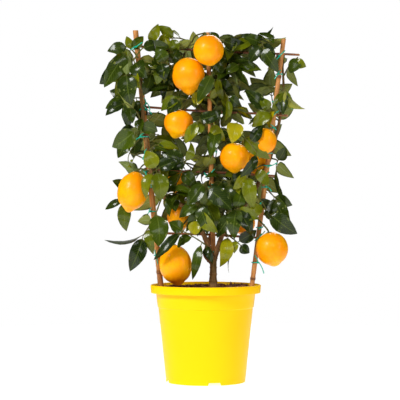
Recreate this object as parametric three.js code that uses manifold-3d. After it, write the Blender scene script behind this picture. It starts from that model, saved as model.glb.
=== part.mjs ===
// A dwarf lemon tree trained on a small trellis of canes, in a plastic pot.
// Millimetres, +Z up. The pot stands on z = 0, with its axis on x = y = 0 and its front towards -Y.
import * as THREE from "three";
import { mergeVertices } from "three/addons/utils/BufferGeometryUtils.js";
import Module from "manifold-3d";

const wasm = await Module();
wasm.setup();

// Driving sizes.
const clearance = 0.3;

const rimDiameter = 205;
const potHeight = 180;
const potWall = 2;
const rimOverhang = 10.5;
const rimSkirtHeight = 15;
const rimSkirtWall = 1.6;
const lipRadius = 2.2;
const baseDiameter = 147;
const shoulderHeight = 137;
const shoulderStep = 1.3;
const shoulderRise = 2;
const floorHeight = 5;
const drainHoleDiameter = 11;
const drainHoleCircle = 80;
const notchWidth = 22;
const notchCount = 4;
const notchTurn = 13;

const soilBelowRim = 5;
const soilRoughness = 1;
const clumpHeight = 5;

const trellisHeight = 477;
const leftCaneTop = -130.5;
const centreCaneTop = 4;
const rightCaneTop = 147;
const centreCaneFoot = 17;
const leftCaneDiameter = 10.5;
const centreCaneDiameter = 8.8;
const rightCaneDiameter = 9;
const caneDepth = 50;
const crossbarDiameter = 4.5;
const crossbarGap = 0.5;

const trunkDiameter = 15;
const twigDiameter = 3;
const leafThickness = 1;
const leafKeel = 0.1;
const petioleDiameter = 1.6;
const stalkDiameter = 2.6;
const stalkSunk = 3;
const wireDiameter = 1.8;
const tieTwistLength = 6;

// Everything that grows is given at this trellis height and follows it when it changes.
const grownAt = 477;
const growth = trellisHeight / grownAt;

// ---------------------------------------------------------------- small helpers

const degrees = Math.PI / 180;
const vec = (x, y, z) => new THREE.Vector3(x, y, z);

function toSolid(geometry) {
  const plain = geometry.clone();
  plain.deleteAttribute("normal");
  plain.deleteAttribute("uv");
  const merged = mergeVertices(plain, 1e-4);
  const corners = merged.index.array;
  const triVerts = [];
  for (let i = 0; i < corners.length; i += 3) {
    const [a, b, c] = [corners[i], corners[i + 1], corners[i + 2]];
    if (a !== b && b !== c && c !== a) triVerts.push(a, b, c);
  }
  return new wasm.Manifold(
    new wasm.Mesh({
      numProp: 3,
      vertProperties: new Float32Array(merged.attributes.position.array),
      triVerts: new Uint32Array(triVerts),
    }),
  );
}

function toGeometry(solid) {
  const mesh = solid.getMesh();
  const geometry = new THREE.BufferGeometry();
  geometry.setAttribute("position", new THREE.BufferAttribute(new Float32Array(mesh.vertProperties), 3));
  geometry.setIndex(new THREE.BufferAttribute(new Uint32Array(mesh.triVerts), 1));
  geometry.computeVertexNormals();
  return geometry;
}

const joined = (solids) => solids.reduce((all, next) => all.add(next));

function boxesMeet(a, b) {
  const [p, q] = [a.boundingBox(), b.boundingBox()];
  return [0, 1, 2].every((k) => p.min[k] <= q.max[k] && q.min[k] <= p.max[k]);
}

// A closed tube along a route. Its radius goes evenly from the first value to the last one.
function tube(route, startRadius, endRadius, sides, steps) {
  const path = new THREE.CatmullRomCurve3(route);
  const frames = path.computeFrenetFrames(steps, false);
  const positions = [];
  const triangles = [];
  for (let i = 0; i <= steps; i += 1) {
    const centre = path.getPointAt(i / steps);
    const radius = THREE.MathUtils.lerp(startRadius, endRadius, i / steps);
    for (let j = 0; j < sides; j += 1) {
      const angle = (2 * Math.PI * j) / sides;
      const corner = centre
        .clone()
        .addScaledVector(frames.normals[i], radius * Math.cos(angle))
        .addScaledVector(frames.binormals[i], radius * Math.sin(angle));
      positions.push(...corner.toArray());
    }
  }
  for (let i = 0; i < steps; i += 1) {
    for (let j = 0; j < sides; j += 1) {
      const next = (j + 1) % sides;
      const [a, b] = [i * sides + j, i * sides + next];
      const [c, d] = [a + sides, b + sides];
      triangles.push(a, b, d, a, d, c);
    }
  }
  const last = steps * sides;
  for (let j = 1; j < sides - 1; j += 1) {
    triangles.push(0, j + 1, j, last, last + j, last + j + 1);
  }
  const geometry = new THREE.BufferGeometry();
  geometry.setAttribute("position", new THREE.Float32BufferAttribute(positions, 3));
  geometry.setIndex(triangles);
  return geometry;
}

// ---------------------------------------------------------------- pot

const rimRadius = rimDiameter / 2;
const baseRadius = baseDiameter / 2;
const neckRadius = rimRadius - rimOverhang;
const neckHeight = potHeight - rimSkirtHeight - 2;
const throatHeight = potHeight - rimSkirtHeight / 2 - 0.5;
const throatRadius = neckRadius + 0.36 * rimOverhang;
const potSegments = 32;

// The wall's outside radius below the neck, with the shoulder left out.
const wallRadius = (z) => THREE.MathUtils.lerp(baseRadius, neckRadius, z / neckHeight);

// The wall's inside, as [radius, height] from the floor up to the mouth.
const mouthRadius = rimRadius - lipRadius * 2.4;
const insideProfile = [
  [baseRadius - potWall - shoulderStep, floorHeight + potWall],
  [wallRadius(shoulderHeight) - shoulderStep - potWall, shoulderHeight],
  [wallRadius(shoulderHeight + shoulderRise) - potWall, shoulderHeight + shoulderRise],
  [neckRadius - potWall, neckHeight],
  [mouthRadius, potHeight - lipRadius],
];

// The wall's inside radius at any height above the floor.
function insideRadius(z) {
  const next = Math.max(1, insideProfile.findIndex(([, height]) => height >= z));
  const [[r0, z0], [r1, z1]] = [insideProfile[next - 1], insideProfile[next]];
  return THREE.MathUtils.mapLinear(z, z0, z1, r0, r1);
}

function potSolid() {
  const skirtBottom = potHeight - rimSkirtHeight;
  const profile = [
    [0, floorHeight],
    [baseRadius - potWall, floorHeight],
    [baseRadius - potWall, 0],
    [baseRadius, 0],
    [wallRadius(shoulderHeight) - shoulderStep, shoulderHeight],
    [wallRadius(shoulderHeight + shoulderRise), shoulderHeight + shoulderRise],
    [neckRadius, neckHeight],
    [throatRadius, throatHeight],
    [rimRadius - rimSkirtWall - 1, throatHeight],
    [rimRadius - rimSkirtWall - 2, skirtBottom],
    [rimRadius - 1, skirtBottom],
    [rimRadius, potHeight - lipRadius],
    [rimRadius - 0.4 * lipRadius, potHeight - 0.4 * lipRadius],
    [rimRadius - 1.2 * lipRadius, potHeight],
    [rimRadius - 2 * lipRadius, potHeight - 0.3 * lipRadius],
    ...insideProfile.toReversed(),
    [0, floorHeight + potWall],
  ];
  const lathe = new THREE.LatheGeometry(profile.map(([r, z]) => new THREE.Vector2(r, z)), potSegments);
  lathe.rotateX(Math.PI / 2);
  let pot = toSolid(lathe);
  for (let i = 0; i < notchCount; i += 1) {
    const turn = (notchTurn + (360 / notchCount) * i) * degrees;
    const notch = new THREE.BoxGeometry(notchWidth, 7 * potWall, 2 * floorHeight);
    notch.translate(0, -baseRadius, 0);
    notch.rotateZ(turn);
    pot = pot.subtract(toSolid(notch));
    const hole = new THREE.CylinderGeometry(drainHoleDiameter / 2, drainHoleDiameter / 2, 6 * potWall, 12);
    hole.rotateX(Math.PI / 2);
    hole.translate(0, -drainHoleCircle / 2, floorHeight);
    hole.rotateZ(turn + 45 * degrees);
    pot = pot.subtract(toSolid(hole));
  }
  return pot;
}

// ---------------------------------------------------------------- soil

const soilLevel = potHeight - soilBelowRim;

function soilSolid(holes) {
  const bottom = floorHeight + potWall + clearance;
  const edge = insideRadius(soilLevel) - clearance;
  const rings = [0.75, 0.5, 0.25];
  const wallSide = insideProfile.slice(1, -1).map(([radius, z]) => [radius - clearance, z]);
  const profile = [
    [0, bottom],
    [insideRadius(bottom) - clearance, bottom],
    ...wallSide,
    [edge, soilLevel],
    ...rings.map((share) => [edge * share, soilLevel]),
    [0, soilLevel],
  ];
  const lathe = new THREE.LatheGeometry(profile.map(([r, z]) => new THREE.Vector2(r, z)), potSegments);
  lathe.rotateX(Math.PI / 2);
  const place = lathe.attributes.position;
  for (let i = 0; i < place.count; i += 1) {
    const [x, y, z] = [place.getX(i), place.getY(i), place.getZ(i)];
    const inside = Math.hypot(x, y) < edge * 0.9;
    if (z === Math.fround(soilLevel) && inside) place.setZ(i, z + soilHeight(x, y));
  }
  return holes.reduce((soil, hole) => soil.subtract(hole), toSolid(lathe));
}

// Low waves all over, and one clump at the back right.
function soilHeight(x, y) {
  const waves = soilRoughness * Math.sin(x / 9 + 1) * Math.cos(y / 8) - soilRoughness;
  const [clumpX, clumpY] = [0.62 * neckRadius, 0.45 * neckRadius];
  const away = Math.hypot(x - clumpX, y - clumpY) / (0.25 * neckRadius);
  return waves + clumpHeight * Math.max(0, 1 - away * away);
}

// ---------------------------------------------------------------- trellis

const caneFootHeight = soilLevel - caneDepth;
const caneTopHeight = soilLevel + trellisHeight;
const outerFoot = (diameter) => insideRadius(caneFootHeight) - diameter / 2 - 2 * clearance;

// Each upright is a straight line in the plane y = 0.
const canes = {
  left: { foot: -outerFoot(leftCaneDiameter), top: leftCaneTop, tall: 1, diameter: leftCaneDiameter },
  centre: { foot: centreCaneFoot, top: centreCaneTop, tall: 0.993, diameter: centreCaneDiameter },
  right: { foot: outerFoot(rightCaneDiameter), top: rightCaneTop, tall: 0.97, diameter: rightCaneDiameter },
};

const heightAbove = (h) => soilLevel + h * growth;

// "branch" is a line part of the way from the centre cane to the left one, which the left branch crosses.
const branchShare = 0.6;

function caneX(name, z) {
  if (name === "branch") return THREE.MathUtils.lerp(caneX("centre", z), caneX("left", z), branchShare);
  const { foot, top } = canes[name];
  return THREE.MathUtils.mapLinear(z, caneFootHeight, caneTopHeight, foot, top);
}


const firstNode = caneDepth + 22;
const nodeRise = 0.5;

// Bamboo: a long lathe with a raised ring at every node.
function caneSolid(name, extra = 0) {
  const { diameter, tall } = canes[name];
  const top = THREE.MathUtils.lerp(caneFootHeight, caneTopHeight, tall);
  const start = vec(caneX(name, caneFootHeight), 0, caneFootHeight);
  const along = vec(caneX(name, top), 0, top).sub(start);
  const length = along.length();
  const radius = diameter / 2 + extra;
  const profile = [[0, -extra], [radius, -extra]];
  for (let at = firstNode; at < length - 30; at += length / 3.4) {
    profile.push([radius, at - 2], [radius + nodeRise, at], [radius, at + 2]);
  }
  profile.push([radius * 0.94 + extra, length + extra], [0, length + extra]);
  const lathe = new THREE.LatheGeometry(profile.map(([r, z]) => new THREE.Vector2(r, z)), 8);
  lathe.applyQuaternion(new THREE.Quaternion().setFromUnitVectors(vec(0, 1, 0), along.normalize()));
  lathe.translate(...start.toArray());
  return toSolid(lathe);
}

// Crossbars lie behind the uprights. Heights are above the soil, at the left and the right end.
const crossbars = {
  crossbar_1: { left: 449, right: 432, leftStub: 21, rightStub: 34 },
  crossbar_2: { left: 336, right: 319, leftStub: 12, rightStub: 27 },
  crossbar_3: { left: 220, right: 207, leftStub: 8, rightStub: 19 },
  crossbar_4: { left: 102, right: 92, leftStub: 9, rightStub: 8 },
};

const crossbarDepth = leftCaneDiameter / 2 + clearance + crossbarDiameter / 2 + crossbarGap;

const tieSteepness = Math.SQRT2;
const tieLooseness = 0.8;
const tieSlack = clearance + wireDiameter / 2;

// How far the crossbars reach back, and the ties round them forwards, now and at the sizes drawn for.
const trellisBack = crossbarDepth + crossbarDiameter / 2;
const trellisFront = (leftCaneDiameter / 2 + tieLooseness) * tieSteepness + tieSlack + wireDiameter / 2;
const [drawnBack, drawnFront] = [10.55, 10.656];

// Depths behind the crossbars or in front of the ties keep their distance from them.
function grownDepth(y) {
  if (y > drawnBack) return trellisBack + (y - drawnBack) * growth;
  if (y < -drawnFront) return (y + drawnFront) * growth - trellisFront;
  return y * (y > 0 ? trellisBack / drawnBack : trellisFront / drawnFront);
}

// A grown point: sideways from an upright's axis, in depth, and above the soil.
function grown(name, [x, y, h]) {
  const z = heightAbove(h);
  return vec(caneX(name, z) + x * growth, grownDepth(y), z);
}

function crossbarLine({ left, right, leftStub, rightStub }) {
  const [zLeft, zRight] = [heightAbove(left), heightAbove(right)];
  return [
    vec(caneX("left", zLeft) - leftStub, crossbarDepth, zLeft),
    vec(caneX("right", zRight) + rightStub, crossbarDepth, zRight),
  ];
}

function crossbarSolid(bar) {
  const [start, end] = crossbarLine(bar);
  return toSolid(tube([start, end], crossbarDiameter / 2, crossbarDiameter * 0.46, 8, 1));
}

// The height of a crossbar where it passes an upright.
function crossingHeight(barName, caneName) {
  const [start, end] = crossbarLine(crossbars[barName]);
  const x = caneX(caneName, (start.z + end.z) / 2);
  return THREE.MathUtils.mapLinear(x, start.x, end.x, start.z, end.z);
}

// ---------------------------------------------------------------- wood

// Stems: points are [upright, x from it, depth, height above the soil], with the end diameters.
const stems = [
  {
    route: [
      ["centre", -2, -13.5, -60],
      ["centre", -2, -13.5, 0],
      ["centre", -1, -13.5, 35],
      ["centre", 0, -12.5, 58],
    ],
    diameters: [trunkDiameter, trunkDiameter * 0.84],
  },
  {
    route: [
      ["centre", -1, -13, 46],
      ["centre", -9, -14, 76],
      ["centre", -23, -16, 110],
      ["centre", -48, -18, 147],
      ["left", 21, -17, 170],
      ["left", 5, -15, 205],
      ["left", 1, -13.5, 250],
      ["left", -1, -13, 310],
      ["left", 0, -13, 370],
      ["left", 2, -12.5, 420],
    ],
    diameters: [10, 4],
  },
  {
    route: [
      ["centre", -1, -13, 44],
      ["centre", -14, -4, 60],
      ["centre", -11, 10, 74],
      ["centre", -3, 19, 96],
      ["centre", 1, 18.5, 140],
      ["centre", 1, 18.5, 200],
      ["centre", 3, 18.5, 260],
      ["centre", 9, 18, 320],
      ["centre", 16, 18, 380],
      ["centre", 20, 17, 420],
    ],
    diameters: [10, 4],
  },
  {
    route: [
      ["centre", 0, -13, 46],
      ["centre", 9, -13, 75],
      ["centre", 23, -11, 110],
      ["centre", 40, 1, 130],
      ["centre", 57, 14, 148],
      ["right", -18, 15, 177],
      ["right", -8, 15.5, 205],
      ["right", 4, 15.5, 240],
      ["right", 10, 15, 280],
      ["right", 13, 14.5, 325],
      ["right", 12, 14, 370],
      ["right", 4, 13.5, 418],
    ],
    diameters: [10, 4],
  },
  {
    route: [
      ["centre", 7, 18, 300],
      ["centre", -22, 14, 345],
      ["centre", -44, 14, 395],
      ["centre", -46, 13, 430],
      ["centre", -32, 13, 458],
    ],
    diameters: [6, 4],
  },
  {
    route: [
      ["centre", 13, 18, 360],
      ["centre", 44, 16, 420],
      ["centre", 74, 15.5, 446],
      ["centre", 100, 15.5, 449],
      ["centre", 126, 14.5, 446],
    ],
    diameters: [5, 3.6],
  },
];

function woodSolid(extra) {
  const parts = stems.map(({ route, diameters }, index) => {
    const points = route.map(([name, ...point]) => grown(name, point));
    const [start, end] = diameters.map((diameter) => (diameter * growth) / 2 + extra);
    return toSolid(tube(points, start, end, index === 0 ? 8 : 5, Math.ceil(1.5 * route.length)));
  });
  return joined(parts);
}

// ---------------------------------------------------------------- leaves

// The side of a blade and its upper face, from the way that it points. Unturned, it faces the front.
function bladeFrame(bearing, lean, turn) {
  const flat = Math.cos(lean * degrees);
  const sideways = flat * Math.cos(bearing * degrees);
  const upwards = flat * Math.sin(bearing * degrees);
  const along = vec(sideways, -Math.sin(lean * degrees), upwards);
  const side = vec(0, -1, 0).cross(along).normalize().applyAxisAngle(along, turn * degrees);
  const face = along.clone().cross(side);
  return { along, side, face };
}

// A leaf: a three-sided sphere drawn out and arched, with its third side as the keel of the midrib. Its
// stalk end is sunk a little way into the twig that bears it.
function leafSolid(base, { bearing, lean, length, width, turn, arch = 0.1 }, extra = 0) {
  const { along, side, face } = bladeFrame(bearing, lean, turn);
  const shape = new THREE.SphereGeometry(1, 3, 3);
  const place = shape.attributes.position;
  const stations = [-2 / length, 0, 0.5, 1];
  for (let i = 0; i < place.count; i += 1) {
    const ring = Math.round((Math.acos(THREE.MathUtils.clamp(place.getY(i), -1, 1)) / Math.PI) * 3);
    const at = stations[ring];
    const pole = ring % 3 === 0;
    const keel = !pole && Math.abs(place.getZ(i)) < 0.1;
    const across = pole || keel ? 0 : -Math.sign(place.getZ(i));
    const halfWidth = (ring === 1 ? petioleDiameter : width) / 2 + extra;
    const depth = (ring === 1 ? petioleDiameter : leafThickness + leafKeel * halfWidth) + 2 * extra;
    const rise = Math.max(0, 4 * arch * length * at * (1 - at));
    const lift = rise + (pole ? 0 : keel ? -depth / 2 : depth / 2);
    const point = base
      .clone()
      .addScaledVector(along, at * length)
      .addScaledVector(side, across * halfWidth)
      .addScaledVector(face, lift);
    place.setXYZ(i, point.x, point.y, point.z);
  }
  return toSolid(shape);
}

// Shoots. A spray is a twig with its leaves. "by" names the upright that its points are measured from:
// path points are [x from the upright, depth, height above the soil]. A spray with "from" starts at that
// point of the shoot's first path. Leaves are
// [place along the twig 0..1, bearing, lean to the front, length, width, turn, arch].
const shoots = [
  {
    name: "crown_left",
    sprays: [
      {
        by: "left",
        path: [[0, -13, 377], [-5, -22, 393], [-8, -26, 420], [-18, -30, 440]],
        leaves: [
          [1, 240, 8, 84, 34, -25],
          [0.9, 265, 30, 50, 24, 165],
          [0.6, 305, 35, 42, 33, 5],
          [0.7, 150, -40, 60, 24, 150],
        ],
      },
      {
        by: "left",
        from: 2,
        path: [[6, -22, 438], [22, -15, 452]],
        leaves: [
          [1, 62, 5, 40, 20, 10],
          [1, 350, 10, 40, 24, 20],
          [0.6, 20, 0, 36, 22, 10],
        ],
      },
      {
        by: "left",
        from: 1,
        path: [[-13, -34, 400], [-23, -42, 398]],
        leaves: [
          [1, 277, 6, 62, 37, 0],
          [0.5, 290, 12, 36, 24, 15],
          [0.8, 205, -15, 40, 24, 10],
        ],
      },
    ],
  },
  {
    name: "left_side",
    sprays: [
      {
        by: "left",
        path: [[-1, -13, 305], [-7, -24, 313], [-13, -34, 325], [-29, -42, 339]],
        leaves: [
          [1, 210, 8, 44, 20, 15],
          [0.85, 281, 18, 33, 20, -15],
          [0.3, 274, 25, 28, 20, 25],
          [0.65, 132, -20, 40, 22, 160],
        ],
      },
      {
        by: "left",
        from: 1,
        path: [[-9, -32, 300], [-14, -38, 291]],
        leaves: [
          [1, 218, 0, 56, 38, -10],
          [0.5, 338, -5, 36, 26, 20],
          [0.6, 243, -35, 58, 24, 150],
        ],
      },
    ],
  },
  {
    name: "left_inner",
    sprays: [
      {
        by: "left",
        path: [[0, -14, 202], [8, -34, 213], [16, -46, 218]],
        leaves: [
          [1, 121, 5, 40, 30, 0],
          [0.7, 249, 10, 52, 22, 35],
          [0.9, 278, 8, 58, 33, -8],
          [1, 23, 10, 42, 26, -10],
        ],
      },
    ],
  },
  {
    name: "left_outer",
    sprays: [
      {
        by: "left",
        path: [[-2, -13, 230], [-13, 0, 225], [-31, 20, 199], [-53, 16, 162]],
        leaves: [
          [1, 204, 0, 40, 15, 20],
          [1, 270, 4, 58, 26, 0],
          [0.8, 148, 20, 38, 22, 20],
          [0.45, 142, -40, 56, 24, 170],
        ],
      },
    ],
  },
  {
    name: "low_left",
    sprays: [
      {
        by: "left",
        path: [[19, -17, 168], [2, -25, 132], [-16, -30, 105], [-22, -32, 97]],
        leaves: [
          [1, 250, 8, 70, 31, -5],
          [0.97, 188, -4, 74, 15, -62],
          [0.78, 279, 10, 50, 19, 15],
          [0.58, 186, -20, 30, 22, 165],
          [0.38, 274, 14, 66, 37, 0],
        ],
      },
    ],
  },
  {
    name: "low_centre",
    sprays: [
      {
        by: "centre",
        path: [[-8, -14, 73], [-19, -30, 83], [-42, -42, 98], [-55, -50, 105]],
        leaves: [
          [0.35, 254, 10, 70, 19, 20],
          [0.15, 290, 30, 36, 17, 10],
          [0.65, 208, 0, 36, 20, 35],
          [1, 222, 14, 74, 20, 30],
          [0.75, 52, 5, 32, 24, -10],
          [0.97, 146, 0, 32, 26, 20],
        ],
      },
    ],
  },
  {
    name: "centre_low",
    sprays: [
      {
        by: "centre",
        path: [[1, 18.5, 150], [-20, 14, 158], [-20, -4, 165], [-11, -34, 180], [-11, -50, 196]],
        leaves: [
          [0.45, 277, 8, 66, 24, -15],
          [0.55, 294, 2, 76, 33, 10],
          [0.9, 316, 10, 66, 33, 0],
          [0.97, 230, 6, 54, 28, 10],
          [0.65, 272, -8, 62, 22, 25],
        ],
      },
      {
        by: "centre",
        from: 1,
        path: [[-37, 42, 165], [-62, 66, 160]],
        leaves: [
          [0.5, 240, -20, 56, 26, 180],
          [1, 228, -5, 52, 28, 175],
          [1, 275, -10, 62, 30, 190],
          [0.75, 120, -25, 50, 26, 170],
          [0.3, 300, -30, 55, 26, 180],
        ],
      },
    ],
  },
  {
    name: "low_right",
    sprays: [
      {
        by: "centre",
        path: [[19, -13, 103], [36, -18, 91], [49, -22, 80]],
        leaves: [
          [0.3, 257, 14, 60, 26, 0],
          [0.92, 241, 0, 56, 13, 72],
          [1, 318, 6, 24, 20, 0],
          [0.7, 269, 25, 24, 15, 0],
          [0.85, 32, 0, 42, 24, 10],
        ],
      },
    ],
  },
  {
    name: "right_low",
    sprays: [
      {
        by: "right",
        path: [[-18, 15, 177], [-14, -8, 170], [2, -18, 153], [10, -18, 139]],
        leaves: [
          [1, 323, 4, 68, 34, 8],
          [0.85, 302, 12, 34, 14, 55],
          [0.5, 325, -25, 38, 20, 20],
          [0.7, 232, 10, 42, 22, 10],
        ],
      },
    ],
  },
  {
    name: "right_inner",
    sprays: [
      {
        by: "right",
        path: [[1, 15, 228], [-9, 5, 227], [-26, -24, 218], [-39, -44, 209]],
        leaves: [
          [1, 282, 8, 64, 28, -5],
          [0.88, 227, 4, 42, 20, -10],
          [0.8, 248, -8, 46, 17, 20],
          [0.5, 303, 10, 42, 22, 0],
        ],
      },
    ],
  },
  {
    name: "right_hang",
    sprays: [
      {
        by: "right",
        path: [[6, 15, 240], [17, 5, 236], [16, -8, 227]],
        leaves: [
          [1, 284, 3, 78, 17, 64],
          [0.6, 60, 20, 32, 22, 0],
          [0.8, 317, -45, 50, 22, 165],
        ],
      },
    ],
  },
  {
    name: "middle",
    sprays: [
      {
        by: "centre",
        path: [[5, 18, 280], [21, 3, 283], [41, -14, 287], [63, -40, 275], [83, -56, 249]],
        leaves: [
          [0.62, 318, 6, 66, 26, 20],
          [1, 239, 8, 54, 20, -25],
          [0.35, 205, 4, 32, 20, 20],
          [0.8, 53, 5, 40, 22, 10],
        ],
      },
      {
        by: "centre",
        from: 2,
        path: [[50, -34, 306]],
        leaves: [[1, 256, 25, 44, 32, 0]],
      },
      {
        by: "centre",
        from: 1,
        path: [[12, -16, 295], [-3, -32, 303], [-24, -48, 306]],
        leaves: [
          [1, 21, 6, 48, 24, -5],
          [0.4, 260, 28, 64, 26, 0],
          [0.8, 230, 14, 36, 24, 0],
          [0.6, 311, 8, 42, 22, 0],
          [0.95, 235, -4, 48, 22, 15],
        ],
      },
    ],
  },
  {
    name: "upper_centre",
    sprays: [
      {
        by: "centre",
        path: [[14, 18, 365], [23, 3, 370], [26, -14, 365], [34, -34, 349]],
        leaves: [
          [0.5, 277, 6, 38, 13, 25],
          [1, 268, 4, 44, 15, -30],
          [0.85, 319, 0, 36, 20, 10],
          [0.45, 217, 30, 36, 17, 160],
        ],
      },
      {
        by: "centre",
        from: 1,
        path: [[17, -16, 391], [7, -38, 396]],
        leaves: [
          [1, 242, 8, 62, 26, 10],
          [0.6, 279, 2, 50, 17, 35],
          [0.3, 295, -4, 40, 17, 50],
          [0.8, 52, 5, 34, 24, 0],
          [0.4, 320, 0, 34, 22, 20],
        ],
      },
    ],
  },
  {
    name: "crown_centre",
    sprays: [
      {
        by: "centre",
        path: [[44, 16, 420], [50, -4, 419], [56, -24, 413]],
        leaves: [
          [0.8, 287, 6, 44, 15, 40],
          [1, 218, 14, 32, 20, 15],
          [0.5, 152, 10, 38, 24, 0],
          [0.7, 338, 14, 36, 24, 0],
        ],
      },
      {
        by: "centre",
        from: 1,
        path: [[38, -10, 445], [23, -8, 461]],
        leaves: [
          [1, 343, 0, 54, 24, 20],
          [1, 150, 5, 24, 10, 0],
        ],
      },
    ],
  },
  {
    name: "crown_right",
    sprays: [
      {
        by: "centre",
        path: [[88, 15.5, 448], [89, 4, 455], [98, -10, 455], [100, -26, 449]],
        leaves: [
          [0.55, 298, 10, 54, 32, 0],
          [0.75, 163, 0, 32, 22, 10],
          [1, 234, -4, 42, 24, 20],
          [1, 300, 0, 60, 24, 10],
        ],
      },
      {
        by: "centre",
        from: 1,
        path: [[83, 1, 456], [81, 0, 461]],
        leaves: [
          [1, 22, 2, 46, 17, 68],
          [0.5, 149, 10, 26, 22, 0],
          [0.4, 3, -6, 60, 24, 160],
        ],
      },
    ],
  },
  {
    name: "right_top",
    sprays: [
      {
        by: "right",
        path: [[9, 14, 393], [19, 6, 415], [31, 2, 428]],
        leaves: [
          [1, 242, 10, 34, 24, 0],
          [0.8, 330, 10, 25, 19, 0],
          [0.4, 297, -30, 40, 17, 160],
        ],
      },
    ],
  },
  {
    name: "right_upper",
    sprays: [
      {
        by: "right",
        path: [[12, 14, 355], [14, 2, 353], [8, -14, 365], [11, -26, 370]],
        leaves: [
          [1, 308, 2, 56, 24, 140],
          [0.88, 285, -14, 40, 24, 0],
          [0.7, 274, 12, 46, 26, 10],
          [0.65, 244, 10, 50, 20, -15],
        ],
      },
      {
        by: "right",
        from: 1,
        path: [[9, -14, 337], [-4, -22, 328], [-16, -30, 325]],
        leaves: [
          [0.8, 221, 8, 46, 26, 5],
          [0.65, 255, 4, 38, 15, 35],
          [1, 134, 0, 56, 26, 5],
          [0.9, 123, 14, 30, 20, 10],
        ],
      },
    ],
  },
  {
    name: "crown_sprig",
    sprays: [
      {
        by: "centre",
        path: [[-32, 13, 457], [-53, 2, 463], [-69, -8, 462]],
        leaves: [
          [0.5, 151, 0, 36, 15, 70],
          [1, 205, 6, 28, 24, 0],
          [0.95, 285, 14, 32, 24, 0],
          [0.8, 144, 10, 38, 22, 25],
        ],
      },
    ],
  },
  {
    name: "crown_inner",
    sprays: [
      {
        by: "centre",
        path: [[-44, 14, 402], [-63, -3, 409], [-76, -20, 413], [-88, -30, 416]],
        leaves: [
          [1, 283, 16, 34, 26, 0],
          [0.8, 127, 14, 34, 26, 0],
          [0.95, 256, 4, 42, 22, 15],
          [0.6, 255, -6, 66, 20, 25],
          [0.7, 60, 0, 36, 22, 10],
        ],
      },
    ],
  },
  {
    name: "centre_left",
    sprays: [
      {
        by: "centre",
        path: [[-22, 14, 344], [-38, -14, 347], [-54, -34, 349]],
        leaves: [
          [1, 231, 10, 38, 24, 5],
          [0.8, 202, 4, 38, 24, 0],
          [0.5, 18, 10, 28, 24, 0],
          [0.95, 209, -4, 44, 24, 20],
        ],
      },
    ],
  },
  {
    name: "middle_left",
    sprays: [
      {
        by: "branch",
        path: [[-7.4, -18, 159], [5.4, -24, 199], [24.4, -36, 235]],
        leaves: [
          [1, 162, 6, 48, 26, 10],
          [1, 202, 8, 40, 24, 0],
          [0.95, 68, 6, 38, 17, 20],
          [0.7, 317, 2, 38, 26, 0],
          [0.45, 219, 0, 30, 20, 30],
        ],
      },
    ],
  },
  {
    name: "back_left",
    sprays: [
      {
        by: "centre",
        path: [[2, 18.5, 205], [-36, 34, 222], [-70, 48, 256], [-98, 50, 286]],
        leaves: [
          [0.35, 250, -20, 55, 28, 180],
          [0.5, 110, -20, 55, 28, 185],
          [0.7, 230, -15, 60, 30, 175],
          [1, 170, -10, 58, 28, 180],
          [1, 215, -20, 60, 30, 170],
          [0.85, 80, -15, 52, 26, 190],
        ],
      },
      {
        by: "centre",
        from: 2,
        path: [[-86, 62, 205], [-95, 70, 165]],
        leaves: [
          [0.5, 175, -20, 56, 28, 180],
          [1, 330, -35, 50, 30, 180],
          [1, 201, -15, 58, 28, 170],
          [0.7, 35, -30, 44, 26, 185],
        ],
      },
      {
        by: "centre",
        from: 2,
        path: [[-78, 60, 330], [-82, 68, 385]],
        leaves: [
          [0.4, 160, -20, 55, 28, 180],
          [0.7, 30, -20, 55, 28, 185],
          [1, 95, -10, 58, 28, 180],
          [1, 150, -15, 55, 28, 175],
          [1, 45, -15, 50, 26, 185],
        ],
      },
    ],
  },
  {
    name: "back_right",
    sprays: [
      {
        by: "right",
        path: [[9, 15, 274], [2, 40, 274], [-14, 66, 274]],
        leaves: [
          [0.5, 200, -25, 54, 26, 180],
          [0.75, 330, -20, 55, 28, 180],
          [1, 270, -10, 60, 30, 180],
          [1, 160, -20, 55, 28, 175],
          [1, 40, -20, 50, 26, 185],
        ],
      },
      {
        by: "right",
        from: 1,
        path: [[-8, 60, 225], [-26, 72, 170]],
        leaves: [
          [0.5, 230, -20, 55, 28, 180],
          [0.6, 320, -20, 58, 28, 180],
          [1, 270, -10, 62, 30, 180],
          [1, 220, -15, 58, 28, 175],
          [1, 330, -20, 52, 26, 185],
        ],
      },
      {
        by: "right",
        from: 1,
        path: [[4, 48, 315], [-6, 68, 360]],
        leaves: [
          [0.5, 30, -25, 50, 26, 180],
          [0.6, 160, -20, 55, 28, 180],
          [1, 90, -10, 58, 28, 180],
          [1, 140, -15, 55, 28, 175],
          [1, 30, -20, 48, 26, 185],
        ],
      },
    ],
  },
  {
    name: "back_centre",
    sprays: [
      {
        by: "centre",
        path: [[12, 18, 345], [14, 45, 345], [8, 80, 345]],
        leaves: [
          [0.6, 200, -20, 54, 26, 180],
          [0.8, 340, -20, 55, 28, 180],
          [1, 270, -10, 60, 30, 180],
          [1, 170, -20, 55, 28, 175],
          [1, 20, -20, 50, 26, 185],
        ],
      },
      {
        by: "centre",
        from: 1,
        path: [[34, 60, 390], [54, 72, 428]],
        leaves: [
          [0.5, 350, -20, 52, 26, 180],
          [0.7, 120, -20, 52, 26, 180],
          [1, 80, -10, 50, 26, 180],
          [1, 20, -15, 50, 26, 175],
        ],
      },
      {
        by: "centre",
        from: 1,
        path: [[-8, 60, 395], [-22, 72, 438]],
        leaves: [
          [0.5, 200, -20, 52, 26, 180],
          [0.7, 60, -20, 52, 26, 180],
          [1, 100, -10, 46, 26, 180],
          [1, 165, -15, 50, 26, 175],
        ],
      },
      {
        by: "centre",
        from: 1,
        path: [[18, 65, 295], [10, 80, 245]],
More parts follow.
